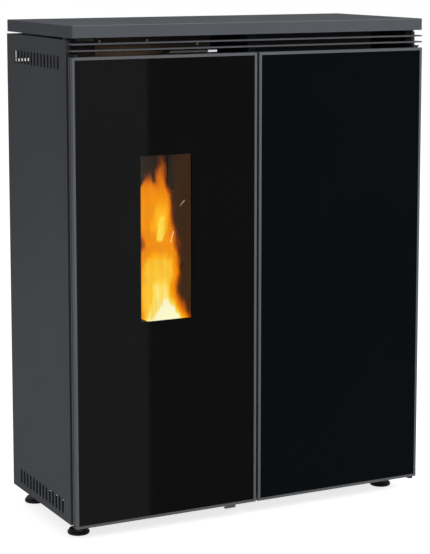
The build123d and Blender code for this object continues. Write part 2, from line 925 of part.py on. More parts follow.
def firebox():
    shell = block((fire_left, fire_right), (fire_front + fire_wall, fire_back), (fire_bottom, fire_top))
    inner_x = (fire_left + fire_wall, fire_right - fire_wall)
    inner_y = (fire_front + fire_wall, fire_back - fire_wall)
    floor_top = fire_bottom + fire_wall
    shell -= block(inner_x, inner_y, (floor_top, fire_top + over))
    plate_x = (front_plate_left, front_plate_right)
    shell += block(plate_x, (fire_front, fire_front + fire_wall), (fire_bottom, fire_top))
    shelf_x = (-half + sheet, partition_left)
    shell += block(shelf_x, (fire_front + fire_wall, fire_back), (fire_bottom, floor_top))
    shell += block(inner_x, inner_y, (hearth_bottom, hearth_top))
    mouth_y = (fire_front - over, fire_front + fire_wall)
    shell -= block(fire_mouth_x, mouth_y, fire_mouth_z)
    shell -= block(grown(drawer_x, drawer_play), mouth_y, grown(drawer_z, drawer_play))
    hole_x = grown((pot_x - pot_width / 2, pot_x + pot_width / 2), pot_clearance + holder_wall)
    hole_y = grown((pot_y - pot_depth / 2, pot_y + pot_depth / 2), pot_clearance + holder_wall)
    hearth_z = grown((hearth_bottom, hearth_top), over)
    shell -= block(hole_x, hole_y, hearth_z)
    ash_slot_left = fire_left + fire_wall + hearth_slot_inset
    shell -= block((ash_slot_left, ash_slot_left + hearth_slot_width), hearth_slot_y, hearth_z)
    shell -= auger_place(0) * Cylinder(auger_bore_r, 4 * auger_bore_r)
    wall_y = grown((fire_back - fire_wall, fire_back), over)
    shell -= rod_y(igniter_r + running_gap, pot_x, wall_y, igniter_z)
    shell -= rod_y(inlet_bore_r, inlet_x, wall_y, inlet_z)
    shell -= block(duct_x, duct_y, grown((fire_bottom, floor_top), over))
    for x in (drawer_x[0] + runner_inset, drawer_x[1] - runner_inset - runner_width):
        shell += block((x, x + runner_width), inner_y, (floor_top, drawer_z[0]))
    return shell + fire_hinge_ears()


def fire_hinge_ears():
    """Two fixed ears with upright pins that the fire door's knuckles hang on."""
    ears = None
    side = (fire_hinge_x - knuckle_r, fire_hinge_x + knuckle_r)
    for low, high in knuckle_spans:
        ear_z = (low - ear_gap - ear_thick, low - ear_gap)
        ear = rod_z(knuckle_r, fire_hinge_x, fire_hinge_y, ear_z)
        ear += block(side, (fire_hinge_y, fire_front), ear_z)
        ear += rod_z(knuckle_pin_r, fire_hinge_x, fire_hinge_y, (low - ear_gap, high))
        ears = ear if ears is None else ears + ear
    return ears


def firebox_liner():
    """Two upright boards on the rear wall, a dark joint between them, on a foot strip."""
    y = (fire_back - fire_wall - liner_thick, fire_back - fire_wall)
    left = fire_left + fire_wall
    right = fire_right - fire_wall
    liner = block((left, right), y, (liner_low, fire_top))
    joint_front = y[0] + liner_thick / 2
    for x in (left + liner_board, right - liner_gap * 2):
        joint_z = (liner_low + liner_joint_rise, fire_top + over)
        liner -= block((x, x + liner_gap), (y[0] - over, joint_front), joint_z)
    return liner + block((left, right), y, (hearth_top, liner_low))


def pot_holder():
    x = grown((pot_x - pot_width / 2, pot_x + pot_width / 2), pot_clearance)
    y = grown((pot_y - pot_depth / 2, pot_y + pot_depth / 2), pot_clearance)
    skirt = block(grown(x, holder_wall), grown(y, holder_wall), (holder_skirt_bottom, hearth_top))
    rim = block(grown(x, holder_wall + holder_rim), grown(y, 2 * holder_wall), (hearth_top, holder_top))
    holder = skirt + rim - block(x, y, (holder_skirt_bottom - over, holder_top + over))
    return holder - rod_y(igniter_r + running_gap, pot_x, grown((y[1], y[1] + holder_wall), over), igniter_z)


def burn_pot():
    x = (pot_x - pot_width / 2, pot_x + pot_width / 2)
    y = (pot_y - pot_depth / 2, pot_y + pot_depth / 2)
    pot = block(x, y, (pot_bottom, pot_top))
    flange_z = (holder_top, holder_top + pot_flange_thick)
    pot += block(grown(x, pot_flange), grown(y, pot_flange - over), flange_z)
    pot -= block(grown(x, -pot_wall), grown(y, -pot_wall), (pot_bottom + pot_wall, pot_top + over))
    floor_z = grown((pot_bottom, pot_bottom + pot_wall), over)
    for column in (-2, -1, 0, 1, 2):
        for row in (-1, 0, 1):
            hole_x = pot_x + column * pot_hole_pitch_x
            pot -= rod_z(pot_hole_r, hole_x, pot_y + row * pot_hole_pitch_y, floor_z)
    for column in (-1.5, -0.5, 0.5, 1.5):
        pot -= rod_y(side_hole_r, pot_x + column * side_hole_pitch, grown(y, over), pot_top - side_hole_drop)
    return pot


def igniter():
    y = (pot_y + pot_depth / 2 + igniter_pot_gap, fire_back + igniter_tail)
    collar_y = (fire_back, fire_back + igniter_collar_thick)
    collar = rod_y(igniter_r + igniter_collar, pot_x, collar_y, igniter_z)
    return rod_y(igniter_r, pot_x, y, igniter_z) + collar


def ash_drawer():
    face_back = fire_front - drawer_front_gap
    face_front = face_back - drawer_front_thick
    y = (face_back, drawer_back)
    drawer = block(drawer_x, y, drawer_z)
    inside_y = (y[0], y[1] - drawer_wall)
    drawer -= block(grown(drawer_x, -drawer_wall), inside_y, (drawer_z[0] + drawer_wall, drawer_z[1] + over))
    drawer += block(grown(drawer_x, drawer_lip), (face_front, face_back), grown(drawer_z, drawer_lip - over))
    middle_x = (drawer_x[0] + drawer_x[1]) / 2
    middle_z = (drawer_z[0] + drawer_z[1]) / 2
    bar_y = face_front - handle_reach + handle_bar_r
    for side in (-1, 1):
        drawer += rod_y(handle_stub_r, middle_x + side * handle_stub_x, (bar_y, face_front), middle_z)
    return drawer + rod_x(handle_bar_r, (middle_x - handle_half, middle_x + handle_half), bar_y, middle_z)


def fire_door_casting():
    door = block(fire_door_x, (casting_front, casting_back), fire_door_z)
    door = fillet(door.edges().filter_by(Axis.Y), casting_corner_r)
    door = fillet(door.faces().sort_by(Axis.Y)[0].edges(), casting_edge_r)
    opening = block(fire_window_x, grown((casting_front, casting_back), over), fire_window_z)
    door -= fillet(opening.edges().filter_by(Axis.Y), window_corner_r)
    glass_x = grown(fire_window_x, fire_glass_lap)
    glass_z = grown(fire_window_z, fire_glass_lap)
    door -= block(glass_x, (casting_back - fire_glass_thick, casting_back + over), glass_z)
    arm_x = (fire_hinge_x, fire_door_x[0] + frame_wall)
    arm_y = (fire_hinge_y - knuckle_arm_half, fire_hinge_y + knuckle_arm_half)
    for span in knuckle_spans:
        door += rod_z(knuckle_r, fire_hinge_x, fire_hinge_y, span) + block(arm_x, arm_y, span)
        door -= rod_z(knuckle_pin_r + running_gap, fire_hinge_x, fire_hinge_y, (span[0] - over, span[1]))
    shaft_y = (casting_front - over, casting_back - sheet)
    return door - rod_y(latch_shaft_r + running_gap, latch_x, shaft_y, latch_z)


def fire_door_glass():
    glass_x = grown(fire_window_x, fire_glass_lap - glass_play)
    glass_z = grown(fire_window_z, fire_glass_lap - glass_play)
    return block(glass_x, (casting_back - fire_glass_thick, casting_back), glass_z)


def fire_door_rope():
    """Flattened seal rope in a ring between casting and firebox."""
    y = (casting_back, fire_front - rope_gap)
    reach = rope_inset + rope_width
    ring = block(grown(fire_mouth_x, reach), y, grown(fire_mouth_z, reach))
    ring = fillet(ring.edges().filter_by(Axis.Y), casting_corner_r)
    inner = block(grown(fire_mouth_x, rope_inset), grown(y, over), grown(fire_mouth_z, rope_inset))
    return ring - fillet(inner.edges().filter_by(Axis.Y), rope_inset)


def glass_clips():
    """Six flat clips that hold the fire glass in its rebate."""
    glass_x = grown(fire_window_x, fire_glass_lap)
    left = (glass_x[0] + clip_hold - clip_width, glass_x[0] + clip_hold)
    right = (glass_x[1] - clip_hold, glass_x[1] - clip_hold + clip_width)
    low = fire_window_z[0] + clip_inset
    high = fire_window_z[1] - clip_inset - clip_height
    y = (casting_back, casting_back + clip_thick)
    places = (low, (low + high) / 2, high)
    return Compound(children=[block(x, y, (z, z + clip_height)) for x in (left, right) for z in places])


def fire_door_handle():
    """Turning handle: shaft in the casting, eccentric cam, and a lever that hangs down."""
    shaft_y = (casting_front - latch_standoff, casting_back - 2 * sheet)
    shaft = rod_y(latch_shaft_r, latch_x, shaft_y, latch_z)
    cam_back = casting_front - latch_cam_gap
    cam_y = (cam_back - latch_cam_thick, cam_back)
    cam = rod_y(latch_cam_r, latch_x + latch_cam_offset, cam_y, latch_z)
    collar = rod_y(latch_collar_r, latch_x, (casting_front - latch_standoff - over, cam_y[0]), latch_z)
    lever_x = (latch_x - lever_width / 2, latch_x + lever_width / 2)
    lever_y = (casting_front - latch_standoff - lever_thick, casting_front - latch_standoff)
    lever = block(lever_x, lever_y, (latch_z - lever_length, latch_z + latch_standoff))
    return shaft + cam + collar + fillet(lever.edges().filter_by(Axis.Y), lever_corner_r)


# ---------- exchanger

def tube_places():
    return [(tube_first_x + i * tube_pitch, z) for z in tube_rows for i in range(tube_count)]


def exchanger_box():
    x = (fire_left, fire_right)
    y = (fire_front, fire_back)
    box = block(x, y, (fire_top, exchanger_top))
    inside_z = (fire_top - over, exchanger_top - exchanger_wall)
    box -= block(grown(x, -exchanger_wall), grown(y, -exchanger_wall), inside_z)
    box += block(x, (y[0], y[0] + exchanger_wall), (exchanger_top, exchanger_face_top))
    for tube_x, tube_z in tube_places():
        box -= rod_y(tube_r, tube_x, grown(y, over), tube_z)
    wall_x = grown((fire_right - exchanger_wall, fire_right), over)
    box -= block(wall_x, grown(port_y, -duct_wall), grown(port_z, -duct_wall))
    for rod_place in scraper_rod_places():
        face_y = grown((y[0], y[0] + exchanger_wall), over)
        box -= rod_y(scraper_rod_r + running_gap, rod_place, face_y, scraper_z)
    return box


def exchanger_tubes():
    tubes = []
    for x, z in tube_places():
        tube = rod_y(tube_r, x, (fire_front, fire_back), z)
        tubes.append(tube - rod_y(tube_bore_r, x, grown((fire_front, fire_back), over), z))
    return Compound(children=tubes)


def scraper_rod_places():
    return (scraper_bar_x[0] + scraper_rod_inset, scraper_bar_x[1] - scraper_rod_inset)


def scraper():
    """Plate that slides over the tubes, on two rods behind a pull bar with an end block."""
    plate_x = grown((fire_left + exchanger_wall, fire_right - exchanger_wall), -scraper_side_play)
    plate_z = (fire_top + scraper_floor_gap, exchanger_top - exchanger_wall - scraper_side_play)
    plate = block(plate_x, scraper_plate_y, plate_z)
    for x, z in tube_places():
        plate -= rod_y(tube_r + scraper_tube_play, x, grown(scraper_plate_y, over), z)
    bar_z = (scraper_z - scraper_bar_half, scraper_z + scraper_bar_half)
    bar = block(scraper_bar_x, scraper_bar_y, bar_z)
    bar += block(scraper_block_x, grown(scraper_bar_y, sheet), grown(bar_z, scraper_block_lap))
    for x in scraper_rod_places():
        bar += rod_y(scraper_rod_r, x, (scraper_bar_y[1] - sheet, scraper_plate_y[0]), scraper_z)
    return bar + plate


# ---------- pellet feed

def firebox_side():
    """Everything left of the firebox wall, for trimming what crosses it."""
    reach = 2 * auger_tube_r
    z = (auger_outlet_z - 3 * reach, auger_outlet_z + 3 * reach)
    return block((fire_right - 3 * reach, fire_right), (auger_y - reach, auger_y + reach), z)


def auger_tube():
    length = auger_length_to(auger_low_x)
    axis = auger_place((length - auger_tube_r) / 2)
    tube = axis * Cylinder(auger_tube_r, length + auger_tube_r)
    tube += auger_place(length + auger_end_plate / 2) * Cylinder(auger_tube_r, auger_end_plate)
    tube -= axis * Cylinder(auger_bore_r, length + auger_tube_r)
    tube -= auger_place(length) * Cylinder(auger_shaft_r + running_gap, 2 * auger_shaft_tail)
    inlet_z_span = (auger_axis_sum - neck_x[1], hopper_shoulder)
    tube -= block(grown(neck_x, -hopper_wall), grown(neck_y, -hopper_wall), inlet_z_span)
    return tube - firebox_side()


def auger_screw():
    length = auger_length_to(auger_low_x)
    shaft = Cylinder(auger_shaft_r, length + auger_shaft_tail, align=(Align.CENTER, Align.CENTER, Align.MIN))
    path = Helix(auger_pitch, length - flight_short, auger_shaft_r)
    profile_plane = Plane(origin=path @ 0, x_dir=(1, 0, 0), z_dir=path % 0)
    flight_width = auger_flight_r - auger_shaft_r
    rooted = flight_width + over
    profile = profile_plane * Pos((flight_width - over) / 2, 0) * Rectangle(rooted, flight_thick)
    flight = sweep(profile, path=path, is_frenet=True)
    screw = shaft + Pos(0, 0, flight_start) * flight
    return auger_place(0) * screw - Pos(2 * over, 0, 0) * firebox_side()


def auger_motor():
    start = auger_length_to(auger_low_x) + auger_end_plate
    gearbox_depth = gearbox_size[2]
    gearbox = auger_place(start + gearbox_depth / 2) * Box(*gearbox_size)
    gearbox -= auger_place(start) * Cylinder(auger_shaft_r + running_gap, 2 * auger_shaft_tail)
    motor_middle = start + gearbox_depth + auger_motor_length / 2
    return gearbox + auger_place(motor_middle) * Cylinder(auger_motor_r, auger_motor_length)


def pellet_chute():
    """Short open slide inside the firebox under the auger outlet."""
    y = (auger_y - auger_tube_r, auger_y + auger_tube_r)
    wall_x = fire_right - fire_wall
    start_z = auger_axis_sum - fire_right - auger_tube_r * math.sqrt(2)
    drop = wall_x - chute_end_x
    side_plan = Polygon(
        (wall_x, start_z),
        (wall_x, start_z - chute_wall * 2),
        (chute_end_x, start_z - drop - chute_wall * 2),
        (chute_end_x, start_z - drop + chute_side),
        (wall_x, start_z + chute_side),
        align=None,
    )
    chute = Pos(0, y[1], 0) * extrude(Plane.XZ * side_plan, y[1] - y[0])
    gap_top = start_z + 2 * chute_side
    gap_plan = Polygon(
        (wall_x + over, start_z + over),
        (chute_end_x - over, start_z - drop - over),
        (chute_end_x - over, gap_top),
        (wall_x + over, gap_top),
        align=None,
    )
    inner = Pos(0, y[1] - chute_wall, 0) * extrude(Plane.XZ * gap_plan, y[1] - y[0] - 2 * chute_wall)
    return chute - inner


def hopper_body(shrink, base, top):
    upper = block(grown(hopper_x, -shrink), grown(hopper_y, -shrink), (hopper_shoulder, top))
    wide_span = span_rectangle(grown(hopper_x, -shrink), grown(hopper_y, -shrink))
    wide = Plane.XY.offset(hopper_shoulder) * wide_span
    narrow = Plane.XY.offset(neck_top) * span_rectangle(grown(neck_x, -shrink), grown(neck_y, -shrink))
    taper = loft([narrow, wide])
    neck = block(grown(neck_x, -shrink), grown(neck_y, -shrink), (base, neck_top))
    return upper + taper + neck


def span_rectangle(x, y):
    return Pos((x[0] + x[1]) / 2, (y[0] + y[1]) / 2) * Rectangle(x[1] - x[0], y[1] - y[0])


def hopper():
    base = auger_axis_sum - neck_x[1]
    shell = hopper_body(0, base, lid_underside) - hopper_body(hopper_wall, base - over, lid_underside + over)
    below_auger = auger_place(0) * Pos(half / 2, 0, 0) * Box(half, half, 2 * height)
    return shell - auger_place(0) * Cylinder(auger_tube_r, height) - below_auger


def hopper_guard():
    """Wide-meshed finger guard across the hopper, held by its walls."""
    x = grown(hopper_x, -hopper_wall)
    y = grown(hopper_y, -hopper_wall)
    guard = None
    pitch = (x[1] - x[0] - guard_bar_width) / (guard_bars + 1)
    for index in range(guard_bars + 2):
        left = x[0] + index * pitch
        bar = block((left, left + guard_bar_width), y, guard_z)
        guard = bar if guard is None else guard + bar
    for y_span in ((y[0], y[0] + guard_bar_width), (y[1] - guard_bar_width, y[1])):
        guard += block(x, y_span, guard_z)
    return guard


# ---------- smoke path

def smoke_duct():
    upright = block(duct_x, duct_y, (duct_foot_z[0], duct_top))
    foot_run = block((duct_foot_x, duct_x[1]), duct_y, duct_foot_z)
    port = block((fire_right, duct_x[0] + over), port_y, port_z)
    collar = rod_y(smoke_eye_r + duct_wall, smoke_fan_x, (duct_y[1] - over, smoke_fan_y[0]), smoke_fan_z)
    duct = upright + foot_run + port + collar
    bore_y = grown(duct_y, -duct_wall)
    foot_run_x = grown((duct_foot_x, duct_x[1]), -duct_wall)
    duct -= block(grown(duct_x, -duct_wall), bore_y, grown((duct_foot_z[0], duct_top), -duct_wall))
    duct -= block(foot_run_x, bore_y, grown(duct_foot_z, -duct_wall))
    port_x = (fire_right - over, duct_x[0] + duct_wall + over)
    duct -= block(port_x, grown(port_y, -duct_wall), grown(port_z, -duct_wall))
    eye_y = (duct_y[1] - duct_wall - over, smoke_fan_y[0] + over)
    return duct - rod_y(smoke_eye_r, smoke_fan_x, eye_y, smoke_fan_z)


def smoke_fan_housing():
    wall = smoke_fan_wall
    foot_x = (smoke_fan_x - fan_foot_half, smoke_fan_x + fan_foot_half)
    body = rod_y(smoke_fan_r, smoke_fan_x, smoke_fan_y, smoke_fan_z)
    body += block((smoke_fan_x, fan_outlet_right), smoke_fan_y, fan_outlet_z)
    body += block(foot_x, grown(smoke_fan_y, -fan_foot_inset), (pan_top, fan_foot_top))
    inner_y = grown(smoke_fan_y, -wall)
    body -= rod_y(smoke_fan_r - wall, smoke_fan_x, inner_y, smoke_fan_z)
    body -= block((smoke_fan_x, fan_outlet_right - wall), inner_y, grown(fan_outlet_z, -wall))
    body -= rod_y(smoke_eye_r, smoke_fan_x, grown((smoke_fan_y[0], smoke_fan_y[0] + wall), over), smoke_fan_z)
    rear_hole = grown((smoke_fan_y[1] - wall, smoke_fan_y[1]), over)
    body -= rod_y(motor_shaft_r + running_gap, smoke_fan_x, rear_hole, smoke_fan_z)
    return body - rod_y(flue_bore_r, flue_x, rear_hole, flue_z)


def smoke_impeller():
    """Twelve straight blades on a back disc, with the hub and shaft."""
    blade_y = (smoke_fan_y[0] + wheel_front_play, smoke_fan_y[1] - wheel_back_play)
    disc_y = (blade_y[1] - wheel_disc, blade_y[1])
    wheel = rod_y(smoke_wheel_r, smoke_fan_x, disc_y, smoke_fan_z)
    wheel += rod_y(wheel_hub_r, smoke_fan_x, (blade_y[0] + wheel_hub_inset, blade_y[1]), smoke_fan_z)
    wheel += rod_y(motor_shaft_r, smoke_fan_x, (blade_y[1], smoke_fan_y[1] + smoke_shaft_tail), smoke_fan_z)
    for index in range(smoke_blades):
        turn = Pos(smoke_fan_x, 0, smoke_fan_z) * Rot(0, index * 360 / smoke_blades, 0)
        radial = (wheel_hub_r - wheel_disc, smoke_wheel_r - over)
        wheel += turn * block(radial, (blade_y[0], disc_y[0] + over), (-wheel_disc / 2, wheel_disc / 2))
    return wheel


def smoke_fan_motor():
    start = smoke_fan_y[1]
    motor = rod_y(smoke_motor_r, smoke_fan_x, (start, start + smoke_motor_length), smoke_fan_z)
    bore_y = (start - over, start + smoke_shaft_tail + shaft_end_gap)
    return motor - rod_y(motor_shaft_r + running_gap, smoke_fan_x, bore_y, smoke_fan_z)


def flue_spigot():
    pipe = rod_y(flue_r, flue_x, (smoke_fan_y[1], flue_end), flue_z)
    pipe += rod_y(flue_r + flue_flange, flue_x, (back, back + sheet), flue_z)
    return pipe - rod_y(flue_bore_r, flue_x, grown((smoke_fan_y[1], flue_end), over), flue_z)


def air_inlet():
    pipe = rod_y(inlet_r, inlet_x, (fire_back, inlet_end), inlet_z)
    pipe += rod_y(inlet_r + inlet_flange, inlet_x, (back, back + sheet), inlet_z)
    return pipe - rod_y(inlet_bore_r, inlet_x, grown((fire_back, inlet_end), over), inlet_z)


# ---------- room air path

def air_riser():
    """Upright sheet channel that leads the fan's air up to the exchanger tubes."""
    riser = block(riser_x, (fire_back, riser_back), riser_z)
    inner_y = (fire_back - over, riser_back - riser_wall)
    return riser - block(grown(riser_x, -riser_wall), inner_y, (riser_z[0] - over, riser_z[1] - riser_wall))


def room_fan_housing():
    wall = room_fan_wall
    shell = block(riser_x, (fire_back, riser_back), room_fan_z)
    inner_x = grown(riser_x, -wall)
    shell -= block(inner_x, grown((fire_back, riser_back), -wall), grown(room_fan_z, over))
    lip_y = (fire_back + wall, room_drum_y - room_drum_r - room_lip_gap)
    shell += block(inner_x, lip_y, (room_drum_z + room_lip_lift, room_fan_z[1]))
    return shell - rod_x(motor_shaft_r + running_gap, grown(riser_x, over), room_drum_y, room_drum_z)


def room_impeller():
    """Cross-flow drum: three discs, a ring of long blades and a shaft."""
    drum_x = grown(riser_x, -room_drum_play)
    shaft_x = (riser_x[0] + running_gap, riser_x[1] + room_shaft_tail)
    drum = rod_x(motor_shaft_r, shaft_x, room_drum_y, room_drum_z)
    middle = (drum_x[0] + drum_x[1]) / 2
    for x in (drum_x[0], middle, drum_x[1] - room_disc):
        drum += rod_x(room_drum_r, (x, x + room_disc), room_drum_y, room_drum_z)
    radial = (room_drum_r - over - room_blade_width, room_drum_r - over)
    for index in range(room_blades):
        turn = Pos(0, room_drum_y, room_drum_z) * Rot(index * 360 / room_blades, 0, 0)
        drum += turn * block(drum_x, radial, (-room_blade_thick / 2, room_blade_thick / 2))
    return drum


def room_fan_motor():
    start = riser_x[1]
    motor = rod_x(room_motor_r, (start, start + room_motor_length), room_drum_y, room_drum_z)
    bore_x = (start - over, start + room_shaft_tail + shaft_end_gap)
    return motor - rod_x(motor_shaft_r + running_gap, bore_x, room_drum_y, room_drum_z)


# ---------- controls

def control_panel():
    """Recessed tray under the left flap, with a display and two rows of keys."""
    x = grown(control_flap_x, tray_grow)
    y = (flap_front_y - tray_grow, flap_hinge_y - tray_rear_gap)
    floor = flap_ring_bottom - tray_floor_drop
    tray = block(x, y, (floor - tray_floor_thick, flap_ring_bottom))
    tray -= block(grown(x, -tray_wall), grown(y, -tray_wall), (floor, flap_ring_bottom + over))
    middle = (x[0] + x[1]) / 2
    display_x = (middle - display_size[0] / 2, middle + display_size[0] / 2)
    display_y = (y[0] + display_front, y[0] + display_front + display_size[1])
    tray += block(display_x, display_y, (floor, floor + display_size[2]))
    first_key = middle - (key_columns - 1) * key_pitch / 2
    for column in range(key_columns):
        for row in range(key_rows):
            key_y = y[0] + key_front + row * key_pitch
            tray += rod_z(key_r, first_key + column * key_pitch, key_y, (floor, floor + key_lift))
    return tray


def on_board(size, y, z):
    """Block of `size` standing on the board's inner face, its low corner at y, z."""
    face = half - sheet - board_wall_gap - board_thick
    return block((face - size[0], face), (y, y + size[1]), (z, z + size[2]))


def control_board():
    """Upright circuit board on four posts inside the right panel."""
    wall_x = half - sheet
    board_back = wall_x - board_wall_gap
    board = block((board_back - board_thick, board_back), board_y, board_z)
    for y in grown(board_y, -board_post_inset):
        for z in grown(board_z, -board_post_inset):
            board += rod_x(board_post_r, (board_back, wall_x), y, z)
    terminal_y = board_y[0] + board_post_inset + 2 * board_post_r
    relay_y = board_y[1] - transformer_size[2] - relay_size[1]
    board += on_board(transformer_size, terminal_y, board_z[0] + board_row_pitch)
    for row in range(board_rows):
        z = board_z[0] + board_row_start + row * board_row_pitch
        board += on_board(terminal_size, terminal_y, z)
        board += on_board(relay_size, relay_y, z)
    return board


def pressure_switch():
    body_end = partition_right + switch_thick
    body = rod_x(switch_r, (partition_right, body_end), switch_y, switch_z)
    return body + rod_x(hose_tail_r, (body_end, body_end + hose_tail), switch_y, switch_z + hose_tail_lift)


def thermostat():
    y = (cover_inside - thermostat_depth, cover_inside)
    body = rod_y(thermostat_r, thermostat_x, y, thermostat_z)
    bore_y = (cover_inside - button_tail - button_end_gap, cover_inside + over)
    return body - rod_y(button_r + running_gap, thermostat_x, bore_y, thermostat_z)


def reset_button():
    return rod_y(button_r, thermostat_x, (cover_inside - button_tail, back + button_reach), thermostat_z)


def power_inlet():
    """Mains inlet with three pins below and the rocker's opening above."""
    z = power_span_z()
    body = block(power_span_x(), (back - power_depth, back + power_flange), z)
    socket_z = (z[0] + socket_bottom, z[0] + socket_bottom + socket_height)
    mouth = back + power_flange + over
    body -= block(grown(power_span_x(), -socket_wall), (back - socket_depth, mouth), socket_z)
    middle_z = (socket_z[0] + socket_z[1]) / 2
    pin_y = (back - socket_depth - over, back - socket_depth + pin_length)
    for place in (-1, 0, 1):
        x = power_x + place * pin_pitch
        pin_z = middle_z + (middle_pin_lift if place == 0 else -outer_pin_drop)
        body += block((x - pin_half, x + pin_half), pin_y, (pin_z - pin_half_height, pin_z + pin_half_height))
    rocker_x = (power_x - rocker_half - rocker_play, power_x + rocker_half + rocker_play)
    rocker_space = rocker_r + rocker_play
    rocker_z_span = (rocker_z - rocker_space, rocker_z + rocker_space)
    body -= block(rocker_x, (back - socket_depth - 2 * over, mouth), rocker_z_span)
    pivot_x = grown(rocker_x, rocker_pin_reach)
    return body - rod_x(rocker_pin_r + running_gap, pivot_x, back - rocker_axis_depth, rocker_z)


def rocker_switch():
    x = (power_x - rocker_half, power_x + rocker_half)
    axis_y = back - rocker_axis_depth
    rocker = rod_x(rocker_r, x, axis_y, rocker_z)
    press_face = Pos(power_x, back + rocker_r - rocker_play, rocker_z + 2 * rocker_axis_depth) * Rot(25, 0, 0)
    rocker -= press_face * Box(4 * rocker_half, rocker_r + 3 * rocker_play, 3 * rocker_r)
    return rocker + rod_x(rocker_pin_r, grown(x, rocker_pin_reach), axis_y, rocker_z)


def main():
    save("base_pan", base_pan())
    save("corner_posts", corner_posts())
    save("partition", partition())
    save("side_panel_left", side_panel(-1))
    save("side_panel_right", side_panel(1))
    save("rear_cover", rear_cover())
    save("top_cover", top_cover())
    save("control_flap", top_flap(control_flap_x))
    save("hopper_lid", top_flap(hopper_lid_x))
    save("slat_lower", slat(slat_lower_drop))
    save("slat_upper", slat(slat_upper_drop))
    save("hinge_brackets", hinge_brackets())
    save("door_magnets", door_magnets())
    save("screws", screws())
    left_x = (-half, left_door_right)
    right_x = (right_door_left, half)
    save("outer_door_frame", door_frame(left_x, -1))
    save("outer_door_glass", door_glass(left_x))
    save("door_pull", door_pull())
    save("service_door_frame", door_frame(right_x, 1))
    save("service_door_glass", door_glass(right_x))
    names = ("foot_front_left", "foot_front_right", "foot_rear_left", "foot_rear_right")
    for name, (x, y) in zip(names, foot_places()):
        save(name, foot(x, y))
    save("firebox", firebox())
    save("firebox_liner", firebox_liner())
    save("pot_holder", pot_holder())
    save("burn_pot", burn_pot())
    save("igniter", igniter())
    save("ash_drawer", ash_drawer())
    save("fire_door_casting", fire_door_casting())
    save("fire_door_glass", fire_door_glass())
    save("fire_door_rope", fire_door_rope())
    save("glass_clips", glass_clips())
    save("fire_door_handle", fire_door_handle())
    save("exchanger_box", exchanger_box())
    save("exchanger_tubes", exchanger_tubes())
    save("scraper", scraper())
    save("auger_tube", auger_tube())
    save("auger_screw", auger_screw())
    save("auger_motor", auger_motor())
    save("pellet_chute", pellet_chute())
    save("hopper", hopper())
    save("hopper_guard", hopper_guard())
    save("smoke_duct", smoke_duct())
    save("smoke_fan_housing", smoke_fan_housing())
    save("smoke_impeller", smoke_impeller())
    save("smoke_fan_motor", smoke_fan_motor())
    save("flue_spigot", flue_spigot())
    save("air_inlet", air_inlet())
    save("air_riser", air_riser())
    save("room_fan_housing", room_fan_housing())
    save("room_impeller", room_impeller())
    save("room_fan_motor", room_fan_motor())
    save("control_panel", control_panel())
    save("control_board", control_board())
    save("pressure_switch", pressure_switch())
    save("thermostat", thermostat())
    save("reset_button", reset_button())
    save("power_inlet", power_inlet())
    save("rocker_switch", rocker_switch())


main()
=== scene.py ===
"""Slim two-door pellet stove, dressed around its CAD frame. Metres, front towards -Y."""

import math
import random

import bmesh
import bpy
from mathutils import Matrix, Vector

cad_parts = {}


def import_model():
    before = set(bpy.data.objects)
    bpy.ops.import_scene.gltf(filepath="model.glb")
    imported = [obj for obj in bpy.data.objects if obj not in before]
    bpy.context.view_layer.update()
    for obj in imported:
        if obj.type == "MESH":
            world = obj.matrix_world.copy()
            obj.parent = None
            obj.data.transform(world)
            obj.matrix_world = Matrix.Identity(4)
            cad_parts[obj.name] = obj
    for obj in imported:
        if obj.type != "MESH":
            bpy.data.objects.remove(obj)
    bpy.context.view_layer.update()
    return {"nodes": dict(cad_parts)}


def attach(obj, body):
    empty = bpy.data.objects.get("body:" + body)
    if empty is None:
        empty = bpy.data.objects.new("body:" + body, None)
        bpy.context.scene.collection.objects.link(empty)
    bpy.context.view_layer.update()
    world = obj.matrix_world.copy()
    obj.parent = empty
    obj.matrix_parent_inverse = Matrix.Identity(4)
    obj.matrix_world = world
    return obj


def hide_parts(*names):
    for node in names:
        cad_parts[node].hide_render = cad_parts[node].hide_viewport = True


# ---------- places taken from the stove's own sizes
WINDOW_LEFT, WINDOW_RIGHT = -0.2626, -0.1474
WINDOW_LOW, WINDOW_HIGH = 0.4507, 0.7912
POT_X, POT_Y = -0.161, -0.088
POT_INSIDE = (0.086, 0.072)
POT_FLOOR_Z = 0.356
SIDE_WALL_X = -0.079
FIREBOX_FRONT_Y = -0.136
FIREBOX_TOP_Z = 0.862
HEARTH_TOP_Z = 0.382

# ---------- stretches over which a finish, or the shade painted into it, changes from one tone to the next
PRINT_EDGE = 0.0003
SCRAPER_BRIGHT_X = (-0.1065, -0.1055)
# exchanger plate: darker towards its right over the first span, painted light low down fading to painted
# shade at its top over the second, painted shade on its left end over the third
EXCHANGER_DARKER_X = (-0.3, -0.12)
EXCHANGER_SHADE_Z = (0.99, 1.016)
EXCHANGER_SIDE_SHADE_X = (-0.3345, -0.3335)
DOOR_SIDE_X = (0.4094, 0.4099)

# ---------- colours
# the second lid grey is a painted highlight along the lid's rounded edges
LID_GREY, LID_HIGHLIGHT_GREY = (0.083, 0.089, 0.099), (0.155, 0.163, 0.174)
PANEL_GREY = (0.072, 0.0755, 0.083)
SLAT_GREY = (0.090, 0.094, 0.104)
DOOR_FRAME_GREY = (0.104, 0.110, 0.118)
# share of the frame colour kept on the doors' outer sides: painted shade
DOOR_SIDE_SHADE_SHARE = 0.56
STOVE_BLACK = (0.018, 0.018, 0.019)
WINDOW_GLASS_BLACK = (0.0022, 0.0022, 0.0023)
PLAIN_GLASS_BLACK = (0.0009, 0.0014, 0.0019)
BRIGHT_TONE, DARK_TONE, PULL_TONE = 0.62, 0.12, 0.075
REAR_BOARD_TONES = ((0.026, 0.026, 0.028), (0.034, 0.034, 0.037), (0.042, 0.042, 0.047))
SIDE_BOARD_TONES = ((0.033, 0.022, 0.014), (0.041, 0.027, 0.018), (0.049, 0.033, 0.022))
PANEL_PLASTIC_BLACK = (0.012, 0.012, 0.013)
SWITCH_PLASTIC_GREY = (0.10, 0.105, 0.11)
BUTTON_RED = (0.33, 0.02, 0.015)

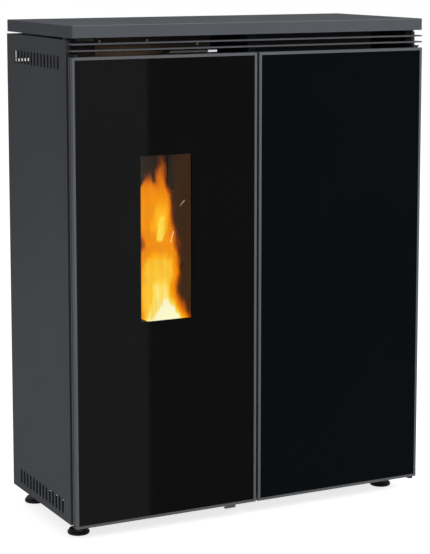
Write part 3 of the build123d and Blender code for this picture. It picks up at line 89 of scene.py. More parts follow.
# ---------- flame sheets: the front one faces the camera's place, the rear one crosses it
FLAME_ALONG = Vector((0.895, -0.446, 0.0))
FLAME_LEFT, FLAME_RIGHT, FLAME_BOW = -0.088, 0.078, 0.006
REAR_FLAME_LEFT, REAR_FLAME_RIGHT, REAR_FLAME_BOW = -0.05, -0.001, 0.004
REAR_FLAME_DRIFT = 3.7
FLAME_LOW_Z, FLAME_HIGH_Z = 0.424, 0.822
FLAME_U_START, FLAME_U_SPAN = -0.0454, 0.1072
FLAME_V_START, FLAME_V_SPAN = 0.425, 0.352
FLAME_STRENGTH = 1.2

# ---------- sparks: middle of the streak, lean in radians, length
SPARKS = {
    "spark_high": (Vector((-0.125, -0.108, 0.676)), 0.75, 0.016),
    "spark_low": (Vector((-0.146, -0.1025, 0.605)), 0.3, 0.024),
}
SPARK_TAIL_RADIUS, SPARK_HEAD_RADIUS, SPARK_STRENGTH = 0.0003, 0.0007, 0.9

# ---------- fuel
PELLET_RADIUS = 0.003
EMBER_COUNT, HOPPER_PELLET_COUNT = 170, 900
EMBER_LENGTHS, PELLET_LENGTHS = (0.008, 0.014), (0.012, 0.02)
EMBER_WALL_GAP = 0.009
EMBER_BASE_Z, EMBER_DEEPEST_Z = POT_FLOOR_Z + 0.006, POT_FLOOR_Z + 0.01
EMBER_HEAP, EMBER_FALL_X, EMBER_FALL_Y = 0.058, 0.45, 0.35
EMBER_LAYER, PELLET_LAYER = 0.03, 0.014
EMBER_SEED, HOPPER_SEED = 11, 5
PELLET_TILT, PELLET_TAPER = 0.5, 0.94
HOPPER_LEFT, HOPPER_RIGHT = 0.016, 0.321
HOPPER_NEAR, HOPPER_FAR = -0.111, 0.131
HOPPER_LEVEL_Z, HOPPER_DIP = 0.86, 0.035

# ---------- levelling feet: (radius, height) round the rubber, then the hexagon and the threaded stem
FOOT_PROFILE = (
    (0.0, 0.0), (0.0205, 0.0), (0.0222, 0.0006), (0.023, 0.002), (0.023, 0.0048), (0.0226, 0.006),
    (0.0204, 0.0068), (0.0200, 0.0076), (0.0200, 0.0098), (0.0192, 0.0108), (0.0, 0.0108),
)
HEXAGON_RADIUS, HEXAGON_THICK, HEXAGON_MIDDLE_Z = 0.0095, 0.0082, 0.0149
STEM_LOW_Z, STEM_HIGH_Z, STEM_PITCH = 0.019, 0.0698, 0.0015
FOOT_STEPS, STEM_STEPS = 48, 20
STEM_ROOT, STEM_CREST, STEM_TIP, STEM_TIP_LENGTH = 0.0042, 0.005, 0.0034, 0.0006

# ---------- camera, matched to the photo's viewing angle
CAMERA_PLACE = (-1.7588, -3.4229, 1.2013)
CAMERA_YAW = 0.4766
CAMERA_PITCH = 0.1329
CAMERA_LENS = 115.64
CAMERA_SHIFT_Y = -0.16
SENSOR = 36.0

# ---------- lamps: place, point aimed at, width, height, power
LAMPS = {
    "key_front": ((0.7, -3.1, 2.6), (0, 0, 0.6), 1.6, 1.6, 69.0),
    "tall_card": ((0.81, -2.9, 1.0), (0.81, 0, 1.0), 0.42, 4.4, 11.0),
    "low_fill": ((-1.2, 0.0, 0.06), (-0.41, 0.0, 0.1), 0.5, 0.5, 2.2),
    "fire_glow": ((-0.315, -0.11, 0.64), (-0.08, -0.04, 0.64), 0.05, 0.38, 1.3),
}
FIRE_GLOW_COLOUR = (1.0, 0.8, 0.6)
SKY_LIGHT, SKY_SEEN = 0.45, 1.0
FLOOR_SIZE, FLOOR_WHITE, FLOOR_SEEN_GLOW = 12.0, 0.8, 0.76

# ---------- each foot's body with its CAD node and its X and Y
FEET = {
    "foot_fl": ("foot_front_left", -0.3705, -0.115),
    "foot_fr": ("foot_front_right", 0.3705, -0.115),
    "foot_rl": ("foot_rear_left", -0.3705, 0.128),
    "foot_rr": ("foot_rear_right", 0.3705, 0.128),
}


# ---------- node helpers

def start_material(name):
    """New node material; returns it with its nodes, links and shader."""
    material = bpy.data.materials.new(name)
    material.use_nodes = True
    nodes, links = material.node_tree.nodes, material.node_tree.links
    return material, nodes, links, nodes["Principled BSDF"]


def place_on_piece(nodes, links, stretch=(1, 1, 1)):
    """Object coordinates, stretched by a mapping node."""
    coordinates = nodes.new("ShaderNodeTexCoord")
    mapping = nodes.new("ShaderNodeMapping")
    mapping.inputs["Scale"].default_value = stretch
    links.new(coordinates.outputs["Object"], mapping.inputs["Vector"])
    return mapping.outputs["Vector"]


def split_place(nodes, links):
    """X, Y and Z of the piece's own coordinates, as three outputs."""
    split = nodes.new("ShaderNodeSeparateXYZ")
    links.new(place_on_piece(nodes, links), split.inputs["Vector"])
    return split.outputs


def add_noise(nodes, links, place, scale, detail=3.0, roughness=0.55):
    """Soft noise between 0 and 1."""
    noise = nodes.new("ShaderNodeTexNoise")
    noise.inputs["Scale"].default_value = scale
    noise.inputs["Detail"].default_value = detail
    noise.inputs["Roughness"].default_value = roughness
    links.new(place, noise.inputs["Vector"])
    return noise.outputs["Fac"]


def add_ramp(nodes, links, value, stops):
    """Colour ramp through (position, colour) stops."""
    ramp = nodes.new("ShaderNodeValToRGB")
    elements = ramp.color_ramp.elements
    while len(elements) < len(stops):
        elements.new(0.5)
    for element, (position, colour) in zip(elements, stops):
        element.position = position
        element.color = (*colour, 1.0)
    links.new(value, ramp.inputs["Fac"])
    return ramp.outputs["Color"]


def add_range(nodes, links, value, span, new_span, smooth=False):
    """Value carried from one span to another, clamped at both ends."""
    node = nodes.new("ShaderNodeMapRange")
    node.interpolation_type = "SMOOTHSTEP" if smooth else "LINEAR"
    node.inputs["From Min"].default_value, node.inputs["From Max"].default_value = span
    node.inputs["To Min"].default_value, node.inputs["To Max"].default_value = new_span
    links.new(value, node.inputs["Value"])
    return node.outputs["Result"]


def add_math(nodes, links, operation, *values):
    """One sum on numbers or sockets."""
    step = nodes.new("ShaderNodeMath")
    step.operation = operation
    for socket, value in zip(step.inputs, values):
        if isinstance(value, (int, float)):
            socket.default_value = value
        else:
            links.new(value, socket)
    return step.outputs["Value"]


def scale_colour(nodes, links, colour, factor):
    """A colour times a number that changes over the surface."""
    scaled = nodes.new("ShaderNodeVectorMath")
    scaled.operation = "SCALE"
    links.new(colour, scaled.inputs["Vector"])
    links.new(factor, scaled.inputs["Scale"])
    return scaled.outputs["Vector"]


def add_curve(nodes, links, value, points):
    """Float curve through (in, out) points."""
    node = nodes.new("ShaderNodeFloatCurve")
    node.mapping.use_clip = False
    curve = node.mapping.curves[0]
    while len(curve.points) < len(points):
        curve.points.new(0.5, 0.5)
    for point, (place, height) in zip(curve.points, points):
        point.location = (place, height)
    node.mapping.update()
    links.new(value, node.inputs["Value"])
    return node.outputs["Value"]


def add_bump(nodes, links, shader, height, strength, distance):
    """Small relief under the finish, from a height value."""
    bump = nodes.new("ShaderNodeBump")
    bump.inputs["Strength"].default_value = strength
    bump.inputs["Distance"].default_value = distance
    links.new(height, bump.inputs["Height"])
    links.new(bump.outputs["Normal"], shader.inputs["Normal"])


def shade(colour, factor):
    """The colour made lighter or darker by a factor."""
    return tuple(min(1.0, channel * factor) for channel in colour)


# ---------- finishes

def textured_paint(name, colour, roughness=0.62, grain=900.0, specular=0.02):
    """Fine-grained powder paint: tiny bumps, faint cloudiness, slightly uneven sheen."""
    material, nodes, links, shader = start_material(name)
    place = place_on_piece(nodes, links)
    cloud = add_noise(nodes, links, place, scale=5.0, detail=2.0)
    paint = add_ramp(nodes, links, cloud, ((0.3, shade(colour, 0.95)), (0.7, shade(colour, 1.05))))
    links.new(paint, shader.inputs["Base Color"])
    fine = add_noise(nodes, links, place, scale=grain, detail=2.0)
    sheen = add_range(nodes, links, fine, (0.3, 0.7), (roughness - 0.06, roughness + 0.08))
    links.new(sheen, shader.inputs["Roughness"])
    add_bump(nodes, links, shader, fine, strength=0.25, distance=0.0002)
    shader.inputs["Specular IOR Level"].default_value = specular
    return material


def lid_paint(colour, highlight_colour):
    """The powder paint, with a painted highlight in a lighter grey along the rounded edges between top and
    sides.
    """
    material = textured_paint("lid_paint", colour, roughness=0.7)
    nodes, links = material.node_tree.nodes, material.node_tree.links
    shader = nodes["Principled BSDF"]
    paint = shader.inputs["Base Color"].links[0].from_socket
    surface = nodes.new("ShaderNodeNewGeometry")
    split = nodes.new("ShaderNodeSeparateXYZ")
    links.new(surface.outputs["Normal"], split.inputs["Vector"])
    # painted highlight: lighter grey where the surface turns between side and top, on the rounded edges
    past_side = add_range(nodes, links, split.outputs["Z"], (0.12, 0.4), (0, 1), smooth=True)
    before_top = add_range(nodes, links, split.outputs["Z"], (0.8, 0.97), (1, 0), smooth=True)
    painted_highlight = nodes.new("ShaderNodeMix")
    painted_highlight.data_type = "RGBA"
    links.new(add_math(nodes, links, "MULTIPLY", past_side, before_top), painted_highlight.inputs["Factor"])
    links.new(paint, painted_highlight.inputs["A"])
    painted_highlight.inputs["B"].default_value = (*highlight_colour, 1.0)
    links.new(painted_highlight.outputs["Result"], shader.inputs["Base Color"])
    return material


def door_frame_paint(colour):
    """Satin metallic paint of the door frames, with painted shade making their outer sides darker than the
    front lip.
    """
    material = textured_paint("door_frame_paint", colour, roughness=0.45, grain=1200.0, specular=0.1)
    nodes, links = material.node_tree.nodes, material.node_tree.links
    shader = nodes["Principled BSDF"]
    paint = shader.inputs["Base Color"].links[0].from_socket
    from_middle = add_math(nodes, links, "ABSOLUTE", split_place(nodes, links)["X"], 0.0)
    # painted shade down the outer sides of the door frames
    door_side_shade = add_range(nodes, links, from_middle, DOOR_SIDE_X, (1.0, DOOR_SIDE_SHADE_SHARE))
    links.new(scale_colour(nodes, links, paint, door_side_shade), shader.inputs["Base Color"])
    return material


def zinc_sheet():
    """Zinc-coated sheet with soft crystal patches."""
    material, nodes, links, shader = start_material("zinc_sheet")
    place = place_on_piece(nodes, links)
    crystals = nodes.new("ShaderNodeTexVoronoi")
    crystals.inputs["Scale"].default_value = 70.0
    links.new(place, crystals.inputs["Vector"])
    patches = add_math(nodes, links, "MULTIPLY", crystals.outputs["Distance"], 1.4)
    tone = add_ramp(nodes, links, patches, ((0.0, (0.30, 0.31, 0.32)), (1.0, (0.42, 0.43, 0.44))))
    links.new(tone, shader.inputs["Base Color"])
    shader.inputs["Metallic"].default_value = 0.85
    links.new(add_range(nodes, links, patches, (0.0, 1.0), (0.42, 0.58)), shader.inputs["Roughness"])
    fine = add_noise(nodes, links, place, scale=400.0, detail=2.0)
    add_bump(nodes, links, shader, fine, strength=0.08, distance=0.0003)
    return material


def drawn_steel(name, tone, stretch=(1, 1, 60)):
    """Drawn or turned steel with fine lines along one way."""
    material, nodes, links, shader = start_material(name)
    place = place_on_piece(nodes, links, stretch)
    lines = add_noise(nodes, links, place, scale=60.0, detail=4.0)
    stops = ((0.3, (tone * 0.85,) * 3), (0.7, (tone, tone, tone * 1.02)))
    links.new(add_ramp(nodes, links, lines, stops), shader.inputs["Base Color"])
    shader.inputs["Metallic"].default_value = 1.0
    links.new(add_range(nodes, links, lines, (0.3, 0.7), (0.26, 0.4)), shader.inputs["Roughness"])
    add_bump(nodes, links, shader, lines, strength=0.06, distance=0.0002)
    return material


def scraper_finish():
    """Sooty rod and bar with a bright, handled end."""
    material, nodes, links, shader = start_material("scraper_steel")
    bright_end = add_range(nodes, links, split_place(nodes, links)["X"], SCRAPER_BRIGHT_X, (0, 1))
    soot = add_noise(nodes, links, place_on_piece(nodes, links), scale=90.0, detail=4.0, roughness=0.7)
    grime = add_range(nodes, links, soot, (0.3, 0.7), (0.0, 0.06))
    clean = add_math(nodes, links, "ADD", bright_end, grime)
    tone = add_ramp(nodes, links, clean, ((0.0, (0.078, 0.077, 0.077)), (1.0, (0.6, 0.6, 0.61))))
    links.new(tone, shader.inputs["Base Color"])
    links.new(add_range(nodes, links, clean, (0, 1), (0.0, 0.6)), shader.inputs["Metallic"])
    links.new(add_range(nodes, links, clean, (0, 1), (0.7, 0.25)), shader.inputs["Roughness"])
    shader.inputs["Specular IOR Level"].default_value = 0.1
    add_bump(nodes, links, shader, soot, strength=0.2, distance=0.0003)
    return material


def heat_black():
    """Matt stove paint, a little dusty."""
    material, nodes, links, shader = start_material("heat_black")
    place = place_on_piece(nodes, links)
    dust = add_noise(nodes, links, place, scale=14.0, detail=5.0, roughness=0.7)
    tone = add_ramp(nodes, links, dust, ((0.35, STOVE_BLACK), (0.75, shade(STOVE_BLACK, 1.9))))
    links.new(tone, shader.inputs["Base Color"])
    fine = add_noise(nodes, links, place, scale=500.0, detail=3.0)
    links.new(add_range(nodes, links, dust, (0.3, 0.8), (0.6, 0.8)), shader.inputs["Roughness"])
    shader.inputs["Specular IOR Level"].default_value = 0.08
    add_bump(nodes, links, shader, fine, strength=0.3, distance=0.0003)
    return material


def cast_iron():
    """Sand-cast iron: coarse skin with small pits."""
    material, nodes, links, shader = start_material("cast_iron")
    place = place_on_piece(nodes, links)
    skin = add_noise(nodes, links, place, scale=220.0, detail=6.0, roughness=0.65)
    stain = add_noise(nodes, links, place, scale=18.0, detail=3.0)
    tone = add_ramp(nodes, links, stain, ((0.35, (0.021, 0.020, 0.019)), (0.7, (0.040, 0.036, 0.032))))
    links.new(tone, shader.inputs["Base Color"])
    links.new(add_range(nodes, links, skin, (0.3, 0.7), (0.5, 0.72)), shader.inputs["Roughness"])
    shader.inputs["Metallic"].default_value = 0.25
    shader.inputs["Specular IOR Level"].default_value = 0.2
    add_bump(nodes, links, shader, skin, strength=0.55, distance=0.0006)
    return material


def heat_browned_steel():
    """Exchanger plate: steel gone brown, with darker runs, darker towards its right, with painted light low
    down fading to painted shade at its top, and painted shade on its left end.
    """
    material, nodes, links, shader = start_material("heat_browned_steel")
    place = place_on_piece(nodes, links, (1, 1, 0.25))
    runs = add_noise(nodes, links, place, scale=26.0, detail=4.0)
    stops = ((0.3, (0.092, 0.058, 0.036)), (0.55, (0.135, 0.090, 0.058)), (0.8, (0.18, 0.12, 0.078)))
    where = split_place(nodes, links)
    # darker towards the right
    along = add_range(nodes, links, where["X"], EXCHANGER_DARKER_X, (1.0, 0.3), smooth=True)
    # painted light near the lower slit, fading to painted shade at the top of the plate
    rise = add_range(nodes, links, where["Z"], EXCHANGER_SHADE_Z, (2.15, 0.42), smooth=True)
    # painted shade on the plate's left end
    side = add_range(nodes, links, where["X"], EXCHANGER_SIDE_SHADE_X, (0.42, 1.0))
    # the product named soot is the painted shade and light together with the darkening towards the right
    soot = add_math(nodes, links, "MULTIPLY", add_math(nodes, links, "MULTIPLY", along, rise), side)
    browned = add_ramp(nodes, links, runs, stops)
    links.new(scale_colour(nodes, links, browned, soot), shader.inputs["Base Color"])
    shader.inputs["Specular IOR Level"].default_value = 0.1
    links.new(add_range(nodes, links, runs, (0.3, 0.8), (0.5, 0.65)), shader.inputs["Roughness"])
    fine = add_noise(nodes, links, place_on_piece(nodes, links), scale=350.0, detail=2.0)
    add_bump(nodes, links, shader, fine, strength=0.2, distance=0.0003)
    return material


def fired_board(name, low, middle, high):
    """Pressed firebox board: speckled, in three tones."""
    material, nodes, links, shader = start_material(name)
    place = place_on_piece(nodes, links)
    speckle = add_noise(nodes, links, place, scale=260.0, detail=5.0, roughness=0.7)
    tone = add_ramp(nodes, links, speckle, ((0.3, low), (0.6, middle), (0.85, high)))
    links.new(tone, shader.inputs["Base Color"])
    wear = add_noise(nodes, links, place, scale=20.0, detail=2.0)
    links.new(add_range(nodes, links, wear, (0.3, 0.7), (0.85, 0.95)), shader.inputs["Roughness"])
    shader.inputs["Specular IOR Level"].default_value = 0.05
    add_bump(nodes, links, shader, speckle, strength=0.5, distance=0.0008)
    return material


def woven_rope():
    """Glass-fibre seal rope: a diagonal braid."""
    material, nodes, links, shader = start_material("woven_rope")
    place = place_on_piece(nodes, links)
    ribs = nodes.new("ShaderNodeTexWave")
    ribs.bands_direction = "DIAGONAL"
    ribs.inputs["Scale"].default_value = 90.0
    ribs.inputs["Distortion"].default_value = 1.5
    links.new(place, ribs.inputs["Vector"])
    braid = ribs.outputs["Fac"]
    stops = ((0.2, (0.04, 0.038, 0.036)), (0.8, (0.12, 0.115, 0.11)))
    links.new(add_ramp(nodes, links, braid, stops), shader.inputs["Base Color"])
    links.new(add_range(nodes, links, braid, (0, 1), (0.9, 1.0)), shader.inputs["Roughness"])
    add_bump(nodes, links, shader, braid, strength=0.8, distance=0.0008)
    return material


def moulded_plastic(name, colour, roughness=0.45):
    """Plastic with the fine grain of its mould."""
    material, nodes, links, shader = start_material(name)
    place = place_on_piece(nodes, links)
    grain = add_noise(nodes, links, place, scale=1400.0, detail=2.0)
    tone = add_ramp(nodes, links, grain, ((0.3, shade(colour, 0.9)), (0.7, shade(colour, 1.1))))
    links.new(tone, shader.inputs["Base Color"])
    sheen = add_range(nodes, links, grain, (0.3, 0.7), (roughness - 0.05, roughness + 0.1))
    links.new(sheen, shader.inputs["Roughness"])
    shader.inputs["Specular IOR Level"].default_value = 0.3
    add_bump(nodes, links, shader, grain, strength=0.2, distance=0.0001)
    return material


def foot_rubber():
    """Black rubber, scuffed grey in places."""
    material, nodes, links, shader = start_material("foot_rubber")
    place = place_on_piece(nodes, links)
    scuffs = add_noise(nodes, links, place, scale=160.0, detail=4.0, roughness=0.7)
    tone = add_ramp(nodes, links, scuffs, ((0.4, (0.006, 0.006, 0.007)), (0.75, (0.016, 0.016, 0.017))))
    links.new(tone, shader.inputs["Base Color"])
    links.new(add_range(nodes, links, scuffs, (0.3, 0.7), (0.5, 0.7)), shader.inputs["Roughness"])
    shader.inputs["Specular IOR Level"].default_value = 0.12
    add_bump(nodes, links, shader, scuffs, strength=0.2, distance=0.0004)
    return material


def die_cast():
    """Pale cast alloy of motors and fan wheels."""
    material, nodes, links, shader = start_material("die_cast")
    place = place_on_piece(nodes, links)
    skin = add_noise(nodes, links, place, scale=500.0, detail=4.0)
    tone = add_ramp(nodes, links, skin, ((0.3, (0.34, 0.345, 0.35)), (0.7, (0.44, 0.445, 0.45))))
    links.new(tone, shader.inputs["Base Color"])
    shader.inputs["Metallic"].default_value = 0.9
    links.new(add_range(nodes, links, skin, (0.3, 0.7), (0.45, 0.6)), shader.inputs["Roughness"])
    add_bump(nodes, links, shader, skin, strength=0.25, distance=0.0003)
    return material


def circuit_board():
    """Green board with fine copper tracks, laid out on the board's own Y and Z."""
    material, nodes, links, shader = start_material("circuit_board")
    where = split_place(nodes, links)
    flat = nodes.new("ShaderNodeCombineXYZ")
    links.new(where["Y"], flat.inputs["X"])
    links.new(where["Z"], flat.inputs["Y"])
    tracks = nodes.new("ShaderNodeTexBrick")
    tracks.inputs["Scale"].default_value = 120.0
    tracks.inputs["Mortar Size"].default_value = 0.04
    tracks.inputs["Color1"].default_value = (0.012, 0.075, 0.035, 1)
    tracks.inputs["Color2"].default_value = (0.010, 0.065, 0.030, 1)
    tracks.inputs["Mortar"].default_value = (0.10, 0.16, 0.05, 1)
    links.new(flat.outputs["Vector"], tracks.inputs["Vector"])
    links.new(tracks.outputs["Color"], shader.inputs["Base Color"])
    sheen = add_range(nodes, links, tracks.outputs["Fac"], (0, 1), (0.3, 0.45))
    links.new(sheen, shader.inputs["Roughness"])
    add_bump(nodes, links, shader, tracks.outputs["Fac"], strength=0.1, distance=0.0002)
    return material


def inside_rectangle(nodes, links, x, z):
    """1 inside the rectangle on the piece's own X and Z, 0 outside."""
    where = split_place(nodes, links)
    inside = None
    for axis, (low, high) in (("X", x), ("Z", z)):
        rise = add_range(nodes, links, where[axis], (low - PRINT_EDGE, low + PRINT_EDGE), (0, 1))
        fall = add_range(nodes, links, where[axis], (high - PRINT_EDGE, high + PRINT_EDGE), (1, 0))
        both = add_math(nodes, links, "MULTIPLY", rise, fall)
        inside = both if inside is None else add_math(nodes, links, "MULTIPLY", inside, both)
    return inside


def printed_glass(name, tone, window=None):
    """Glass printed black on its back; the window, where there is one, is left clear."""
    material, nodes, links, shader = start_material(name)
    place = place_on_piece(nodes, links)
    depth = add_noise(nodes, links, place, scale=3.0, detail=2.0)
    colour = add_ramp(nodes, links, depth, ((0.3, shade(tone, 0.85)), (0.7, shade(tone, 1.15))))
    links.new(colour, shader.inputs["Base Color"])
    smears = add_noise(nodes, links, place, scale=24.0, detail=4.0, roughness=0.7)
    links.new(add_range(nodes, links, smears, (0.3, 0.8), (0.02, 0.06)), shader.inputs["Roughness"])
    shader.inputs["Specular IOR Level"].default_value = 0.035
    if window:
        clear = inside_rectangle(nodes, links, *window)
        links.new(add_range(nodes, links, clear, (0, 1), (1.0, 0.06)), shader.inputs["Alpha"])
    return material


def clear_ceramic():
    """Fire door glass: clear, faintly smoked, with a light film of ash."""
    material, nodes, links, shader = start_material("clear_ceramic")
    place = place_on_piece(nodes, links)
    film = add_noise(nodes, links, place, scale=30.0, detail=5.0, roughness=0.7)
    tone = add_ramp(nodes, links, film, ((0.4, (0.05, 0.04, 0.03)), (0.8, (0.16, 0.14, 0.12))))
    links.new(tone, shader.inputs["Base Color"])
    links.new(add_range(nodes, links, film, (0.45, 0.8), (0.04, 0.1)), shader.inputs["Alpha"])
    links.new(add_range(nodes, links, film, (0.3, 0.8), (0.05, 0.15)), shader.inputs["Roughness"])
    shader.inputs["Specular IOR Level"].default_value = 0.2
    return material


def wood_pellet():
    """Pressed sawdust: pale brown with dark ends of fibres."""
    material, nodes, links, shader = start_material("wood_pellet")
    place = place_on_piece(nodes, links)
    fibre = add_noise(nodes, links, place, scale=420.0, detail=5.0, roughness=0.7)
    stops = ((0.3, (0.22, 0.12, 0.05)), (0.55, (0.42, 0.27, 0.13)), (0.8, (0.55, 0.38, 0.20)))
    links.new(add_ramp(nodes, links, fibre, stops), shader.inputs["Base Color"])
    links.new(add_range(nodes, links, fibre, (0.3, 0.7), (0.6, 0.85)), shader.inputs["Roughness"])
    add_bump(nodes, links, shader, fibre, strength=0.4, distance=0.0004)
    return material


def glowing_ember():
    """Charred pellet, black on the outside and glowing between the cracks."""
    material, nodes, links, shader = start_material("glowing_ember")
    place = place_on_piece(nodes, links)
    crust = add_noise(nodes, links, place, scale=130.0, detail=4.0, roughness=0.7)
    char = add_ramp(nodes, links, crust, ((0.4, (0.01, 0.008, 0.007)), (0.7, (0.05, 0.035, 0.03))))
    links.new(char, shader.inputs["Base Color"])
    shader.inputs["Roughness"].default_value = 0.9
    glow = add_ramp(nodes, links, crust, ((0.35, (1.0, 0.42, 0.06)), (0.6, (0.9, 0.12, 0.01))))
    links.new(glow, shader.inputs["Emission Color"])
    links.new(add_range(nodes, links, crust, (0.35, 0.65), (1.2, 0.0)), shader.inputs["Emission Strength"])
    add_bump(nodes, links, shader, crust, strength=0.5, distance=0.0006)
    return material


# ---------- the flame's look

def tongue(nodes, links, across, up, left_edge, right_edge, soft, heat, gates=()):
    """Heat between two edges given as curves over height; `gates` fade it in or out with height."""
    value = heat
    from_left = add_math(nodes, links, "SUBTRACT", across, add_curve(nodes, links, up, left_edge))
    from_right = add_math(nodes, links, "SUBTRACT", add_curve(nodes, links, up, right_edge), across)
    for distance in (from_left, from_right):
        inside = add_range(nodes, links, distance, (0.0, soft), (0.0, 1.0), smooth=True)
        value = add_math(nodes, links, "MULTIPLY", inside, value)
    for span, change in gates:
        gate = add_range(nodes, links, up, span, change, smooth=True)
        value = add_math(nodes, links, "MULTIPLY", gate, value)
    return value


# Edges are (height, place across) and gates (heights, fade), both in shares of the sheet's UV.
FADE_IN, FADE_OUT = (0.0, 1.0), (1.0, 0.0)
TONGUES = {
    "body": dict(
        left_edge=((0, -.22), (.08, -.3), (.16, -.26), (.26, -.33), (.36, -.28), (.42, -.19), (.47, -.13),
                   (.52, -.2), (.6, -.31), (.7, -.25), (.78, -.28), (.84, .1), (.9, .24), (1, .28)),
        right_edge=((0, 1.02), (.06, .94), (.12, .86), (.18, .8), (.24, .84), (.3, .92), (.38, .9),
                    (.46, .86), (.54, .8), (.66, .77), (.76, .74), (.84, .66), (.92, .58), (1, .52)),
        soft=.28, heat=.62, gates=(((.74, .98), FADE_OUT),)),
    "tip": dict(
        left_edge=((0, .1), (.7, .12), (.85, .19), (1, .23)),
        right_edge=((0, .72), (.7, .7), (.85, .6), (1, .52)),
        soft=.18, heat=.6, gates=(((.5, .7), FADE_IN), ((.72, 1.2), FADE_OUT))),
    "left_lick": dict(
        left_edge=((0, -.3), (.74, -.26), (.8, -.16), (.86, -.04), (1, .02)),
        right_edge=((0, .38), (.78, .38), (.84, .33), (.9, .27), (1, .22)),
        soft=.16, heat=.6, gates=(((.45, .6), FADE_IN), ((.78, .96), FADE_OUT))),
    "low_body": dict(
        left_edge=((0, -.24), (.1, -.28), (.3, -.22), (.38, -.16), (.45, -.08), (1, .1)),
        right_edge=((0, 1.05), (.1, .92), (.2, .84), (.3, .88), (.4, .84), (1, .74)),
        soft=.34, heat=.82, gates=(((.34, .6), FADE_OUT),)),
    "low_core": dict(
        left_edge=((0, -.2), (.05, -.14), (.1, -.08), (.2, .0), (.3, .04), (.4, .1), (1, .1)),
        right_edge=((0, 1.02), (.1, .9), (.2, .76), (.3, .72), (.4, .68), (1, .6)),
        soft=.3, heat=.92, gates=(((.2, .5), FADE_OUT),)),
    "white_base": dict(
        left_edge=((0, -.22), (.05, -.1), (.1, .0), (.2, .12), (.3, .2), (1, .24)),
        right_edge=((0, 1.2), (.05, 1.1), (.1, 1.01), (.15, .92), (.2, .84), (.3, .78), (1, .68)),
        soft=.5, heat=1.1, gates=(((.06, .46), FADE_OUT),)),
    "upper_glow": dict(
        left_edge=((0, -.1), (.5, -.04), (.7, .04), (.86, .18), (1, .28)),
        right_edge=((0, .76), (.5, .78), (.7, .76), (.86, .64), (1, .52)),
        soft=.3, heat=.77, gates=(((.44, .56), FADE_IN), ((.66, .92), FADE_OUT))),
    "upper_core": dict(
        left_edge=((0, .18), (.48, .18), (.56, .2), (.64, .27), (.7, .36), (.76, .42), (1, .44)),
        right_edge=((0, .5), (.48, .52), (.6, .56), (.7, .58), (.78, .56), (1, .5)),
        soft=.12, heat=.89, gates=(((.45, .49), FADE_IN), ((.6, .82), FADE_OUT))),
}
FLAME_COLOURS = (
    (0.0, (0.10, 0.014, 0.001)),
    (0.25, (0.36, 0.062, 0.003)),
    (0.45, (0.70, 0.16, 0.004)),
    (0.62, (0.92, 0.285, 0.004)),
    (0.76, (1.0, 0.44, 0.010)),
    (0.9, (1.0, 0.70, 0.07)),
    (1.0, (1.0, 0.97, 0.62)),
)


def flame_gas(name, drift):
    """Burning gas on a sheet: tongues of heat, bent and streaked by noise, glowing by their heat."""
    material, nodes, links, shader = start_material(name)
    sheet = nodes.new("ShaderNodeUVMap")
    sheet.uv_map = "sheet"

    def drifting_noise(stretch, detail):
        mapping = nodes.new("ShaderNodeMapping")
        mapping.inputs["Location"].default_value = (drift, drift, 0)
        mapping.inputs["Scale"].default_value = (*stretch, 1.0)
        links.new(sheet.outputs["UV"], mapping.inputs["Vector"])
        return add_noise(nodes, links, mapping.outputs["Vector"], scale=1.0, detail=detail, roughness=0.6)

    split = nodes.new("ShaderNodeSeparateXYZ")
    links.new(sheet.outputs["UV"], split.inputs["Vector"])
    across, up = split.outputs["X"], split.outputs["Y"]
    sway = add_range(nodes, links, drifting_noise((2.2, 5.0), 1.0), (0.25, 0.75), (-0.055, 0.055))
    wisps = add_range(nodes, links, drifting_noise((9.0, 7.0), 4.0), (0.25, 0.75), (-0.045, 0.045))
    for shift in (sway, wisps):
        across = add_math(nodes, links, "ADD", across, shift)
    heat = None
    for settings in TONGUES.values():
        part = tongue(nodes, links, across, up, **settings)
        heat = part if heat is None else add_math(nodes, links, "SMOOTH_MAX", heat, part, 0.12)
    streak = add_range(nodes, links, drifting_noise((11.0, 1.6), 3.0), (0.3, 0.7), (0.95, 1.05))
    heat = add_math(nodes, links, "MULTIPLY", heat, streak)
    shader.inputs["Base Color"].default_value = (0, 0, 0, 1)
    shader.inputs["Specular IOR Level"].default_value = 0.0
    shader.inputs["Roughness"].default_value = 1.0
    links.new(add_ramp(nodes, links, heat, FLAME_COLOURS), shader.inputs["Emission Color"])
    shader.inputs["Emission Strength"].default_value = FLAME_STRENGTH
    links.new(add_range(nodes, links, heat, (0.03, 0.56), (0.0, 1.0), smooth=True), shader.inputs["Alpha"])
    return material


# ---------- pieces

SHARP_ANGLE = math.radians(35)
MERGE_DISTANCE = 1e-6


def finish_piece(shape, name, body, materials, replaces=(), smooth=False):
    """Turns a bmesh into a named object that rides on a body."""
    mesh = bpy.data.meshes.new(name)
    shape.normal_update()
    shape.to_mesh(mesh)
    shape.free()
    for material in materials:
        mesh.materials.append(material)
    if smooth:
        mesh.shade_smooth()
        mesh.set_sharp_from_angle(angle=SHARP_ANGLE)
    thing = bpy.data.objects.new(name, mesh)
    bpy.context.scene.collection.objects.link(thing)
    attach(thing, body)
    if replaces:
        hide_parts(*replaces)
    return thing


def flame_sheet(name, body, material, along, left, right, bow):
    """Upright bowed sheet with its own UV, from the coals up."""
    shape = bmesh.new()
    bmesh.ops.create_grid(shape, x_segments=12, y_segments=16, size=0.5)
    uv = shape.loops.layers.uv.new("sheet")
    middle = Vector((POT_X, POT_Y, 0.0))
    outward = along.cross(Vector((0, 0, 1)))
    for vertex in shape.verts:
        share_across, share_up = vertex.co.x + 0.5, vertex.co.y + 0.5
        run = left + (right - left) * share_across
        rise = FLAME_LOW_Z + (FLAME_HIGH_Z - FLAME_LOW_Z) * share_up
        depth = bow * math.sin(math.pi * share_across) * math.cos(1.5 * math.pi * share_up)
        vertex.co = middle + along * run + outward * depth
        vertex.co.z = rise
    for face in shape.faces:
        face.smooth = True
        for loop in face.loops:
            run = (loop.vert.co - middle).dot(along)
            across = (run - FLAME_U_START) / FLAME_U_SPAN
            loop[uv].uv = (across, (loop.vert.co.z - FLAME_V_START) / FLAME_V_SPAN)
    sheet = finish_piece(shape, name, body, [material])
    sheet.visible_shadow = False


